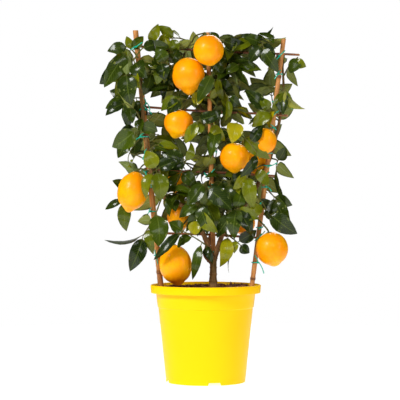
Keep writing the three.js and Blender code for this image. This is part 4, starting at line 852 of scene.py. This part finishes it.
# Shoots. Each spray: the upright that it is measured from, the point of the first path that it starts at,
# its path as (x, depth, height above the soil), and its leaves as (place along the twig, bearing, lean to
# the front, length, width, turn, and for some their tone).
shoots = {
    "crown_left": [
        ("left", None, [(0, -13, 377), (-5, -22, 393), (-8, -26, 420), (-18, -30, 440)],
         [(1, 240, 8, 84, 34, -25, 0.2), (0.9, 265, 30, 50, 24, 165), (0.6, 305, 35, 42, 33, 5),
          (0.7, 150, -40, 60, 24, 150)]),
        ("left", 2, [(6, -22, 438), (22, -15, 452)],
         [(1, 62, 5, 40, 20, 10, 0.55), (1, 350, 10, 40, 24, 20), (0.6, 20, 0, 36, 22, 10)]),
        ("left", 1, [(-13, -34, 400), (-23, -42, 398)],
         [(1, 277, 6, 62, 37, 0, 0.1), (0.5, 290, 12, 36, 24, 15, 0.6), (0.8, 205, -15, 40, 24, 10)]),
    ],
    "left_side": [
        ("left", None, [(-1, -13, 305), (-7, -24, 313), (-13, -34, 325), (-29, -42, 339)],
         [(1, 210, 8, 44, 20, 15), (0.85, 281, 18, 33, 20, -15), (0.3, 274, 25, 28, 20, 25, 0.3),
          (0.65, 132, -20, 40, 22, 160)]),
        ("left", 1, [(-9, -32, 300), (-14, -38, 291)],
         [(1, 218, 0, 56, 38, -10), (0.5, 338, -5, 36, 26, 20), (0.6, 243, -35, 58, 24, 150)]),
    ],
    "left_inner": [
        ("left", None, [(0, -14, 202), (8, -34, 213), (16, -46, 218)],
         [(1, 121, 5, 40, 30, 0), (0.7, 249, 10, 52, 22, 35), (0.9, 278, 8, 58, 33, -8),
          (1, 23, 10, 42, 26, -10)]),
    ],
    "left_outer": [
        ("left", None, [(-2, -13, 230), (-13, 0, 225), (-31, 20, 199), (-53, 16, 162)],
         [(1, 204, 0, 40, 15, 20), (1, 270, 4, 58, 26, 0), (0.8, 148, 20, 38, 22, 20),
          (0.45, 142, -40, 56, 24, 170)]),
    ],
    "low_left": [
        ("left", None, [(19, -17, 168), (2, -25, 132), (-16, -30, 105), (-22, -32, 97)],
         [(1, 250, 8, 70, 31, -5), (0.97, 188, -4, 74, 15, -62), (0.78, 279, 10, 50, 19, 15),
          (0.58, 186, -20, 30, 22, 165), (0.38, 274, 14, 66, 37, 0)]),
    ],
    "low_centre": [
        ("centre", None, [(-8, -14, 73), (-19, -30, 83), (-42, -42, 98), (-55, -50, 105)],
         [(0.35, 254, 10, 70, 19, 20), (0.15, 290, 30, 36, 17, 10), (0.65, 208, 0, 36, 20, 35),
          (1, 222, 14, 74, 20, 30), (0.75, 52, 5, 32, 24, -10, 0.7), (0.97, 146, 0, 32, 26, 20)]),
    ],
    "centre_low": [
        ("centre", None, [(1, 18.5, 150), (-20, 14, 158), (-20, -4, 165), (-11, -34, 180),
         (-11, -50, 196)],
         [(0.45, 277, 8, 66, 24, -15), (0.55, 294, 2, 76, 33, 10), (0.9, 316, 10, 66, 33, 0),
          (0.97, 230, 6, 54, 28, 10), (0.65, 272, -8, 62, 22, 25)]),
        ("centre", 1, [(-37, 42, 165), (-62, 66, 160)],
         [(0.5, 240, -20, 56, 26, 180), (1, 228, -5, 52, 28, 175), (1, 275, -10, 62, 30, 190),
          (0.75, 120, -25, 50, 26, 170), (0.3, 300, -30, 55, 26, 180)]),
    ],
    "low_right": [
        ("centre", None, [(19, -13, 103), (36, -18, 91), (49, -22, 80)],
         [(0.3, 257, 14, 60, 26, 0, 0.66), (0.92, 241, 0, 56, 13, 72), (1, 318, 6, 24, 20, 0),
          (0.7, 269, 25, 24, 15, 0, 0.6), (0.85, 32, 0, 42, 24, 10)]),
    ],
    "right_low": [
        ("right", None, [(-18, 15, 177), (-14, -8, 170), (2, -18, 153), (10, -18, 139)],
         [(1, 323, 4, 68, 34, 8), (0.85, 302, 12, 34, 14, 55), (0.5, 325, -25, 38, 20, 20),
          (0.7, 232, 10, 42, 22, 10)]),
    ],
    "right_inner": [
        ("right", None, [(1, 15, 228), (-9, 5, 227), (-26, -24, 218), (-39, -44, 209)],
         [(1, 282, 8, 64, 28, -5), (0.88, 227, 4, 42, 20, -10, 0.62), (0.8, 248, -8, 46, 17, 20),
          (0.5, 303, 10, 42, 22, 0)]),
    ],
    "right_hang": [
        ("right", None, [(6, 15, 240), (17, 5, 236), (16, -8, 227)],
         [(1, 284, 3, 78, 17, 64), (0.6, 60, 20, 32, 22, 0), (0.8, 317, -45, 50, 22, 165)]),
    ],
    "middle": [
        ("centre", None, [(5, 18, 280), (21, 3, 283), (41, -14, 287), (63, -40, 275), (83, -56, 249)],
         [(0.62, 318, 6, 66, 26, 20), (1, 239, 8, 54, 20, -25), (0.35, 205, 4, 32, 20, 20),
          (0.8, 53, 5, 40, 22, 10)]),
        ("centre", 2, [(50, -34, 306)],
         [(1, 256, 25, 44, 32, 0, 0.8)]),
        ("centre", 1, [(12, -16, 295), (-3, -32, 303), (-24, -48, 306)],
         [(1, 21, 6, 48, 24, -5), (0.4, 260, 28, 64, 26, 0), (0.8, 230, 14, 36, 24, 0),
          (0.6, 311, 8, 42, 22, 0, 0.62), (0.95, 235, -4, 48, 22, 15)]),
    ],
    "upper_centre": [
        ("centre", None, [(14, 18, 365), (23, 3, 370), (26, -14, 365), (34, -34, 349)],
         [(0.5, 277, 6, 38, 13, 25, 0.6), (1, 268, 4, 44, 15, -30, 0.5), (0.85, 319, 0, 36, 20, 10),
          (0.45, 217, 30, 36, 17, 160)]),
        ("centre", 1, [(17, -16, 391), (7, -38, 396)],
         [(1, 242, 8, 62, 26, 10), (0.6, 279, 2, 50, 17, 35, 0.45), (0.3, 295, -4, 40, 17, 50),
          (0.8, 52, 5, 34, 24, 0), (0.4, 320, 0, 34, 22, 20)]),
    ],
    "crown_centre": [
        ("centre", None, [(44, 16, 420), (50, -4, 419), (56, -24, 413)],
         [(0.8, 287, 6, 44, 15, 40), (1, 218, 14, 32, 20, 15), (0.5, 152, 10, 38, 24, 0),
          (0.7, 338, 14, 36, 24, 0)]),
        ("centre", 1, [(38, -10, 445), (23, -8, 461)],
         [(1, 343, 0, 54, 24, 20), (1, 150, 5, 24, 10, 0)]),
    ],
    "crown_right": [
        ("centre", None, [(88, 15.5, 448), (89, 4, 455), (98, -10, 455), (100, -26, 449)],
         [(0.55, 298, 10, 54, 32, 0), (0.75, 163, 0, 32, 22, 10), (1, 234, -4, 42, 24, 20),
          (1, 300, 0, 60, 24, 10)]),
        ("centre", 1, [(83, 1, 456), (81, 0, 461)],
         [(1, 22, 2, 46, 17, 68), (0.5, 149, 10, 26, 22, 0), (0.4, 3, -6, 60, 24, 160)]),
    ],
    "right_top": [
        ("right", None, [(9, 14, 393), (19, 6, 415), (31, 2, 428)],
         [(1, 242, 10, 34, 24, 0), (0.8, 330, 10, 25, 19, 0, 0.5), (0.4, 297, -30, 40, 17, 160)]),
    ],
    "right_upper": [
        ("right", None, [(12, 14, 355), (14, 2, 353), (8, -14, 365), (11, -26, 370)],
         [(1, 308, 2, 56, 24, 140), (0.88, 285, -14, 40, 24, 0), (0.7, 274, 12, 46, 26, 10),
          (0.65, 244, 10, 50, 20, -15)]),
        ("right", 1, [(9, -14, 337), (-4, -22, 328), (-16, -30, 325)],
         [(0.8, 221, 8, 46, 26, 5), (0.65, 255, 4, 38, 15, 35, 0.85), (1, 134, 0, 56, 26, 5),
          (0.9, 123, 14, 30, 20, 10)]),
    ],
    "crown_sprig": [
        ("centre", None, [(-32, 13, 457), (-53, 2, 463), (-69, -8, 462)],
         [(0.5, 151, 0, 36, 15, 70, 0.5), (1, 205, 6, 28, 24, 0), (0.95, 285, 14, 32, 24, 0),
          (0.8, 144, 10, 38, 22, 25, 0.45)]),
    ],
    "crown_inner": [
        ("centre", None, [(-44, 14, 402), (-63, -3, 409), (-76, -20, 413), (-88, -30, 416)],
         [(1, 283, 16, 34, 26, 0), (0.8, 127, 14, 34, 26, 0), (0.95, 256, 4, 42, 22, 15),
          (0.6, 255, -6, 66, 20, 25), (0.7, 60, 0, 36, 22, 10)]),
    ],
    "centre_left": [
        ("centre", None, [(-22, 14, 344), (-38, -14, 347), (-54, -34, 349)],
         [(1, 231, 10, 38, 24, 5), (0.8, 202, 4, 38, 24, 0), (0.5, 18, 10, 28, 24, 0, 0.7),
          (0.95, 209, -4, 44, 24, 20)]),
    ],
    "middle_left": [
        ("branch", None, [(-7.4, -18, 159), (5.4, -24, 199), (24.4, -36, 235)],
         [(1, 162, 6, 48, 26, 10), (1, 202, 8, 40, 24, 0), (0.95, 68, 6, 38, 17, 20, 0.5),
          (0.7, 317, 2, 38, 26, 0), (0.45, 219, 0, 30, 20, 30)]),
    ],
    "back_left": [
        ("centre", None, [(2, 18.5, 205), (-36, 34, 222), (-70, 48, 256), (-98, 50, 286)],
         [(0.35, 250, -20, 55, 28, 180), (0.5, 110, -20, 55, 28, 185), (0.7, 230, -15, 60, 30, 175),
          (1, 170, -10, 58, 28, 180), (1, 215, -20, 60, 30, 170), (0.85, 80, -15, 52, 26, 190)]),
        ("centre", 2, [(-86, 62, 205), (-95, 70, 165)],
         [(0.5, 175, -20, 56, 28, 180), (1, 330, -35, 50, 30, 180), (1, 201, -15, 58, 28, 170),
          (0.7, 35, -30, 44, 26, 185)]),
        ("centre", 2, [(-78, 60, 330), (-82, 68, 385)],
         [(0.4, 160, -20, 55, 28, 180), (0.7, 30, -20, 55, 28, 185), (1, 95, -10, 58, 28, 180),
          (1, 150, -15, 55, 28, 175), (1, 45, -15, 50, 26, 185)]),
    ],
    "back_right": [
        ("right", None, [(9, 15, 274), (2, 40, 274), (-14, 66, 274)],
         [(0.5, 200, -25, 54, 26, 180), (0.75, 330, -20, 55, 28, 180), (1, 270, -10, 60, 30, 180, 0.6),
          (1, 160, -20, 55, 28, 175), (1, 40, -20, 50, 26, 185)]),
        ("right", 1, [(-8, 60, 225), (-26, 72, 170)],
         [(0.5, 230, -20, 55, 28, 180), (0.6, 320, -20, 58, 28, 180), (1, 270, -10, 62, 30, 180),
          (1, 220, -15, 58, 28, 175), (1, 330, -20, 52, 26, 185)]),
        ("right", 1, [(4, 48, 315), (-6, 68, 360)],
         [(0.5, 30, -25, 50, 26, 180), (0.6, 160, -20, 55, 28, 180), (1, 90, -10, 58, 28, 180),
          (1, 140, -15, 55, 28, 175), (1, 30, -20, 48, 26, 185)]),
    ],
    "back_centre": [
        ("centre", None, [(12, 18, 345), (14, 45, 345), (8, 80, 345)],
         [(0.6, 200, -20, 54, 26, 180), (0.8, 340, -20, 55, 28, 180), (1, 270, -10, 60, 30, 180),
          (1, 170, -20, 55, 28, 175), (1, 20, -20, 50, 26, 185)]),
        ("centre", 1, [(34, 60, 390), (54, 72, 428)],
         [(0.5, 350, -20, 52, 26, 180), (0.7, 120, -20, 52, 26, 180), (1, 80, -10, 50, 26, 180),
          (1, 20, -15, 50, 26, 175)]),
        ("centre", 1, [(-8, 60, 395), (-22, 72, 438)],
         [(0.5, 200, -20, 52, 26, 180), (0.7, 60, -20, 52, 26, 180), (1, 100, -10, 46, 26, 180, 0.55),
          (1, 165, -15, 50, 26, 175)]),
        ("centre", 1, [(18, 65, 295), (10, 80, 245)],
         [(0.4, 210, -20, 56, 28, 180), (0.6, 330, -20, 56, 28, 180), (1, 270, -10, 62, 30, 180),
          (1, 220, -15, 58, 28, 175), (1, 320, -15, 56, 28, 185)]),
    ],
}

# More sprays, in the same form, that fill the crown's upper left and hang in front of the low branches.
extraSprays = [
    ("centre", None, [(25, -11, 112), (33, -26, 132), (47, -34, 152)],
     [(1, 262, 8, 62, 30, 10, 0.2), (0.9, 300, 6, 58, 28, -15), (0.7, 235, 8, 56, 26, 15, 0.12),
      (0.95, 330, 5, 46, 24, 10), (0.8, 70, 5, 40, 24, 10)]),
    ("centre", None, [(-24, -17, 112), (-30, -34, 136), (-24, -42, 158)],
     [(1, 285, 8, 60, 28, 10, 0.15), (0.9, 250, 6, 50, 26, -15), (0.75, 310, 10, 58, 26, 15),
      (0.95, 215, 5, 44, 22, 10, 0.3), (0.9, 40, 5, 40, 24, 10)]),
    ("right", None, [(10, 15, 178), (16, 4, 172), (22, -6, 166)],
     [(1, 300, 5, 56, 30, 10, 0.15), (0.8, 265, 5, 50, 26, -15, 0.1), (0.7, 330, 0, 40, 22, 10)]),
    ("centre", None, [(1, 18.5, 196), (16, 2, 200), (34, -20, 196)],
     [(1, 275, 8, 56, 26, 10), (0.8, 310, 6, 54, 26, -15, 0.1), (0.6, 240, 8, 52, 24, 15),
      (0.95, 20, 5, 44, 24, 10)]),
    ("left", None, [(0, -13, 395), (-12, -4, 405), (-28, 2, 410)],
     [(1, 215, 0, 56, 30, 10), (0.8, 250, 5, 60, 32, -15), (0.6, 180, 0, 44, 26, 15),
      (0.9, 285, 10, 54, 30, 10)]),
    ("left", None, [(0, -13, 350), (-10, -2, 352), (-22, 4, 350)],
     [(1, 200, 0, 50, 26, 5), (0.8, 255, 0, 56, 30, 20), (0.6, 290, 0, 50, 28, -15),
      (0.9, 160, 0, 44, 26, 10)]),
    ("left", None, [(0, -13, 425), (-8, -6, 438), (-16, -4, 446)],
     [(1, 190, 0, 40, 24, 10), (0.8, 250, 10, 50, 28, -10), (0.7, 110, 0, 28, 16, 10),
      (0.9, 40, 0, 34, 20, 15)]),
    ("left", None, [(0, -13, 300), (-12, -4, 296), (-20, 6, 286)],
     [(1, 235, 0, 56, 30, 10), (0.8, 265, 5, 50, 28, -10), (0.6, 200, 0, 38, 24, 10)]),
    ("left", None, [(2, -13, 385), (14, -8, 398), (30, -4, 404)],
     [(1, 300, 5, 46, 26, 10), (0.8, 250, 5, 50, 26, -15), (0.6, 20, 0, 36, 22, 15),
      (0.9, 60, 0, 34, 22, 10)]),
]

# Bare twigs, each with small buds at its end: points as (upright, x, depth, height above the soil), and how
# many buds.
bareTwigs = {
    "radius": (1.1, 0.7), "rows": 24, "sides": 8, "budLength": 5.5, "budRadius": 1.7, "budRows": 7,
    "fan": 0.7, "budTone": 0.55,
    "routes": [
        ([("left", -2, -13, 285), ("left", -22, -22, 264), ("left", -36, -24, 240),
          ("left", -35, -22, 226)], 4),
        ([("left", -2, -13, 252), ("left", -18, -22, 248), ("left", -28, -24, 236)], 3),
        ([("left", -2, -13, 288), ("left", 12, -24, 300), ("left", 34, -30, 321)], 0),
        ([("centre", 2, 18, 236), ("centre", -12, -4, 244), ("centre", -30, -34, 236)], 5),
        ([("centre", -6, -13, 62), ("centre", -12, -20, 66), ("centre", -21, -22, 67)], 3),
        ([("right", 12, 14, 330), ("right", 24, 4, 338), ("right", 34, -6, 334)], 3),
    ],
}

# Shoots that only fill the crown, along a stem: (stem, from, to, how many, leaves on each).
filling = {
    "seed": 21,
    "rows": [(1, 0.3, 0.97, 17, 7), (2, 0.24, 0.98, 19, 7), (3, 0.26, 0.97, 16, 7), (4, 0.3, 0.95, 7, 6),
             (5, 0.25, 0.95, 8, 6)],
    "reach": (24, 46), "rise": 45, "length": (34, 60), "plump": (0.38, 0.5), "yellow": 0.08,
    "outside": (24, 14), "top": 652, "bottom": 215, "deepest": 100,
    "caneRoom": 5, "lemonRoom": 1.5, "seen": 7,
}


# The way a leaf points, from its bearing in the plane of the trellis and its lean to the front.
def leafWay(bearing, lean):
    bearing, lean = math.radians(bearing), math.radians(lean)
    return np.array([math.cos(lean) * math.cos(bearing), -math.sin(lean),
                     math.cos(lean) * math.sin(bearing)])


# A leaf is a flattened tube. Its half width rises from the stalk as q^0.6 and falls as (1-q)^0.9 towards a
# point, where q is the share of the blade, and 2.73 makes the widest place as wide as asked. The halves fold
# up from the midrib, the blade arches as 4t(1-t) and its end droops as the cube of t, it twists a little and
# its edge waves.
def leafShape(base, way, facing, size, turnBy, tone, draws, stations="stations"):
    length, width = size
    t = np.array(leaf[stations])
    q = np.clip((t - leaf["stalkShare"]) / (1 - leaf["stalkShare"]), 0, 1)
    stalk = leaf["stalkRadius"] * (1 - 0.75 * smoothStep(0.1, 0.9, t))
    half = np.maximum(width / 2 * 2.73 * q**0.6 * (1 - q) ** 0.9, stalk)
    inBlade = smoothStep(0, 0.1, q)
    side = unit(np.cross(facing, way))
    face = np.cross(way, side)
    spin = np.radians(turnBy + draws.uniform(-1, 1) * leaf["twist"] * (t - 0.4))[:, None]
    sides = np.cos(spin) * side + np.sin(spin) * face
    faces = np.cos(spin) * face - np.sin(spin) * side
    arch, droop = draws.uniform(*leaf["arch"]), draws.uniform(*leaf["droop"])
    lift = length * (4 * arch * t * (1 - t) + droop * t**3)
    sway = length * draws.uniform(-leaf["sway"], leaf["sway"]) * np.sin(math.pi * t)
    middle = base + way * (t * length)[:, None] + faces * lift[:, None] + side * sway[:, None]
    turn = roundSteps(leaf["around"])[None]
    across, over = np.cos(turn), np.sin(turn)
    fold = draws.uniform(*leaf["fold"]) * inBlade
    thick = stalk + (leaf["thickness"] - stalk) * inBlade
    rib = (np.where(over < 0, 1.0, 0.25) * bell(across, leaf["ribWidth"]) * leaf["rib"]
           * ((1 - t) * inBlade)[:, None])
    phase = np.sin(t * draws.uniform(14, 24) + draws.uniform(0, 6))[:, None]
    wave = leaf["wave"] * phase * across**2 * np.sign(across)
    raised = (np.abs(across) ** 1.25 * (fold * half)[:, None] + over * thick[:, None]
              + rib * np.sign(over) + wave * (half * inBlade)[:, None])
    rings = (middle[:, None] + sides[:, None] * (across * half[:, None])[..., None]
             + faces[:, None] * raised[..., None])
    return closedSurface(rings, {"tone": tone, "under": (over < -0.01).astype(float),
                                 "twig": (1 - smoothStep(0.0, 0.05, q))[:, None]},
                         (t[:, None], 0.5 + 0.5 * across))


# Most leaves are deep green, and the lighter a tone is, the fewer have it.
def leafTone(draws):
    low, high = leaf["toneRange"]
    return low + (high - low) * draws.random() ** leaf["toneSkew"]


# A twig tapers along its path and has a few knobs.
def twigShape(path):
    shares = np.linspace(0, 1, 8 * len(path))
    start, end = leaf["twigRadius"]
    knobs = 1 + leaf["knob"] * bell((shares * leaf["twigKnobs"]) % 1 - 0.5, 0.12)
    return sweep(alongCurve(path, shares), (start + (end - start) * shares) * knobs, leaf["twigSides"],
                 {"twig": 1.0})


# All sprays of a shoot. A side spray starts at a point of the first one's path.
def shootShape(sprays, draws):
    parts, firstBy, firstPath = [], sprays[0][0], sprays[0][2]
    for by, startAt, places, leaves in sprays:
        path = [grown(by, place) for place in places]
        if startAt is not None:
            path.insert(0, grown(firstBy, firstPath[startAt]))
        parts.append(twigShape(path))
        for place, bearing, lean, length, width, turnBy, *tone in leaves:
            tone = tone[0] if tone else leafTone(draws)
            base = alongCurve(path, [place])[0]
            parts.append(leafShape(base, leafWay(bearing, lean), np.array([0, -1.0, 0]), (length, width),
                                   turnBy, tone, draws))
    return joinShapes(parts)


# True if a leaf keeps inside the crown, out of every lemon, and off the front of the lemons and canes that
# can be seen from the front.
def hasRoom(points):
    x, y, z = points.T
    left, right = filling["outside"]
    if np.any(z > filling["top"]) or np.any(np.abs(y) > filling["deepest"]) or np.any(z < filling["bottom"]):
        return False
    if np.any(x < caneX("left", z) - left) or np.any(x > caneX("right", z) + right):
        return False
    for name in ("left", "right"):
        if np.any((y < -4) & (np.abs(x - caneX(name, z)) < filling["caneRoom"])):
            return False
    for k, (name, middle, width, length, *_) in enumerate(lemons["fruit"]):
        size = np.array([width, width, length]) / 2 + filling["lemonRoom"]
        dx, dy, dz = ((points - grown(name, middle)) / size).T
        if np.any(dx**2 + dy**2 + dz**2 < 1):
            return False
        if k < filling["seen"] and np.any((dx**2 + dz**2 < 0.95) & (dy < 0)):
            return False
    return True


# Filling shoots leave the stem by the golden angle, and their leaves spread round them and sag.
def fillingShapes(row, seed):
    p = filling
    stem, low, high, count, leafCount = row
    draws = np.random.default_rng(p["seed"] + seed)
    route = [grown(name, place) for name, *place in wood["stems"][stem][0]]
    made = []
    for k, share in enumerate(np.linspace(low, high, count)):
        start = alongCurve(route, [share])[0]
        bearing = math.radians(137.5 * k + 60 * stem)
        rise = math.radians(draws.uniform(0, p["rise"]))
        way = np.array([math.cos(bearing) * math.cos(rise), 0.7 * math.sin(bearing) * math.cos(rise),
                        math.sin(rise)])
        reach = draws.uniform(*p["reach"])
        path = np.array([start, start + way * reach * 0.5 + [0, 0, 2], start + way * reach])
        leaves = []
        for j in range(leafCount):
            base = alongCurve(path, [0.35 + 0.65 * j / (leafCount - 1)])[0]
            around = 2.4 * j + k
            spread = np.array([math.cos(around), 0.6 * math.sin(around), draws.uniform(-0.95, 0.25)])
            facing = np.array([draws.uniform(-0.4, 0.4), (-1 if base[1] < 5 else 1) * 0.8, 0.75])
            length = draws.uniform(*p["length"])
            size = (length, length * draws.uniform(*p["plump"]))
            tone = leafTone(draws) + (0.3 if draws.random() < p["yellow"] else 0)
            shape = leafShape(base, unit(way * 0.55 + spread), facing, size, draws.uniform(-20, 20), tone,
                              draws, "plainStations")
            if hasRoom(shape["points"]):
                leaves.append(shape)
        if leaves:
            made += [twigShape(path)] + leaves
    return made


# A bud is a small ball drawn out to a point, and the buds at a twig's end spread like a fan.
def bareTwigShapes(route, buds, seed):
    p = bareTwigs
    draws = np.random.default_rng(seed)
    path = alongCurve([grown(name, place) for name, *place in route], np.linspace(0, 1, p["rows"]))
    parts = [sweep(path, np.linspace(*p["radius"], p["rows"]), p["sides"], {"twig": 1.0})]
    t = np.linspace(0, 1, p["budRows"])
    swell = p["budRadius"] * np.sin(math.pi * np.clip(t, 0.04, 0.97)) ** 0.8
    for _ in range(buds):
        way = unit(unit(path[-1] - path[-4]) + draws.normal(size=3) * p["fan"])
        parts.append(sweep(path[-1] + way * (t * p["budLength"])[:, None], swell, p["sides"],
                           {"tone": p["budTone"], "twig": 0.0}))
    return parts


leafDraws = np.random.default_rng(leaf["seed"])
for name, sprays in shoots.items():
    makePiece("leaves_" + name, shootShape(sprays, leafDraws), leafGreen, ["shoot_" + name],
              smoothBelow=75)
makePiece("leavesExtra", shootShape(extraSprays, np.random.default_rng(leaf["seed"] + 1)), leafGreen,
          smoothBelow=75)
twigParts = []
for seed, (route, buds) in enumerate(bareTwigs["routes"]):
    twigParts += bareTwigShapes(route, buds, seed)
makePiece("twigsBare", joinShapes(twigParts), leafGreen)
for seed, row in enumerate(filling["rows"]):
    makePiece(f"leavesFilling{seed + 1}", joinShapes(fillingShapes(row, seed)), leafGreen,
              smoothBelow=75)
print("leaves built")


# The stage, in metres. Each lamp: its name, its place, its width and height, and its power in watts.
stage = {
    "eye": (-0.0106, -2.8, 0.337), "lens": 135.5, "sensor": 36, "target": (0, 0, 0.36),
    "floorRadius": 1.3, "floorSides": 96, "floorColour": (0.9, 0.9, 0.9), "floorGlow": 0.7,
    "backdrop": (1.0, 1.0, 1.0), "ambient": 0.17, "mirrorDim": 0.9,
    "lamps": [("key", (-1.5, -1.7, 1.75), (0.8, 0.8), 61), ("fill", (1.9, -1.3, 0.9), (0.3, 1.6), 12),
              ("front", (0.2, -2.6, 1.3), (1.2, 0.6), 10), ("back", (0.5, 1.9, 1.7), (1.6, 0.9), 30)],
}


# A soft square lamp that faces the plant.
def addLamp(name, place, size, power):
    light = bpy.data.lights.new(name, "AREA")
    light.shape, light.energy = "RECTANGLE", power
    light.size, light.size_y = size
    lamp = bpy.data.objects.new(name, light)
    bpy.context.scene.collection.objects.link(lamp)
    away = np.array(place) - np.array(stage["target"])
    tilt = math.acos(away[2] / np.linalg.norm(away))
    lamp.location = place
    lamp.rotation_euler = (tilt, 0, math.atan2(away[1], away[0]) + math.pi / 2)


for lamp in stage["lamps"]:
    addLamp(*lamp)

# The floor is a round disc with some glow of its own, so that it reads as white as the backdrop.
bearings = roundSteps(stage["floorSides"])
rim = np.stack([np.cos(bearings), np.sin(bearings), np.zeros(len(bearings))], -1) * stage["floorRadius"]
floorMesh = bpy.data.meshes.new("floor")
floorMesh.from_pydata(rim.tolist(), [], [tuple(range(len(rim)))])
floor = bpy.data.objects.new("floor", floorMesh)
bpy.context.scene.collection.objects.link(floor)
floorPale = newMaterial("floorPale", {
    "Base Color": (*stage["floorColour"], 1), "Roughness": 0.25,
    "Emission Color": (1, 1, 1, 1), "Emission Strength": stage["floorGlow"]})[1]({})
floorMesh.materials.append(floorPale)

# The world is the white backdrop to the camera, a dim light to surfaces and dimmer still in reflections.
world = bpy.data.worlds.new("studio")
world.use_nodes = True
bpy.context.scene.world = world
sky = Field(world.node_tree)
seen = sky.node("ShaderNodeLightPath", None, None, "Is Camera Ray")
mirrored = Field(sky.tree, seen.socket.node.outputs["Is Glossy Ray"])
background = world.node_tree.nodes["Background"]
background.inputs["Color"].default_value = (*stage["backdrop"], 1)
glow = seen * (1 - stage["ambient"]) + stage["ambient"] * (1 - mirrored * stage["mirrorDim"])
sky.tree.links.new(glow.socket, background.inputs["Strength"])

cameraData = bpy.data.cameras.new("camera")
cameraData.lens, cameraData.sensor_width = stage["lens"], stage["sensor"]
camera = bpy.data.objects.new("camera", cameraData)
camera.location, camera.rotation_euler = stage["eye"], (math.pi / 2, 0, 0)
bpy.context.scene.collection.objects.link(camera)
bpy.context.scene.camera = camera
bpy.context.scene.view_settings.view_transform = "Standard"
print("stage ready")

print("scene ready")
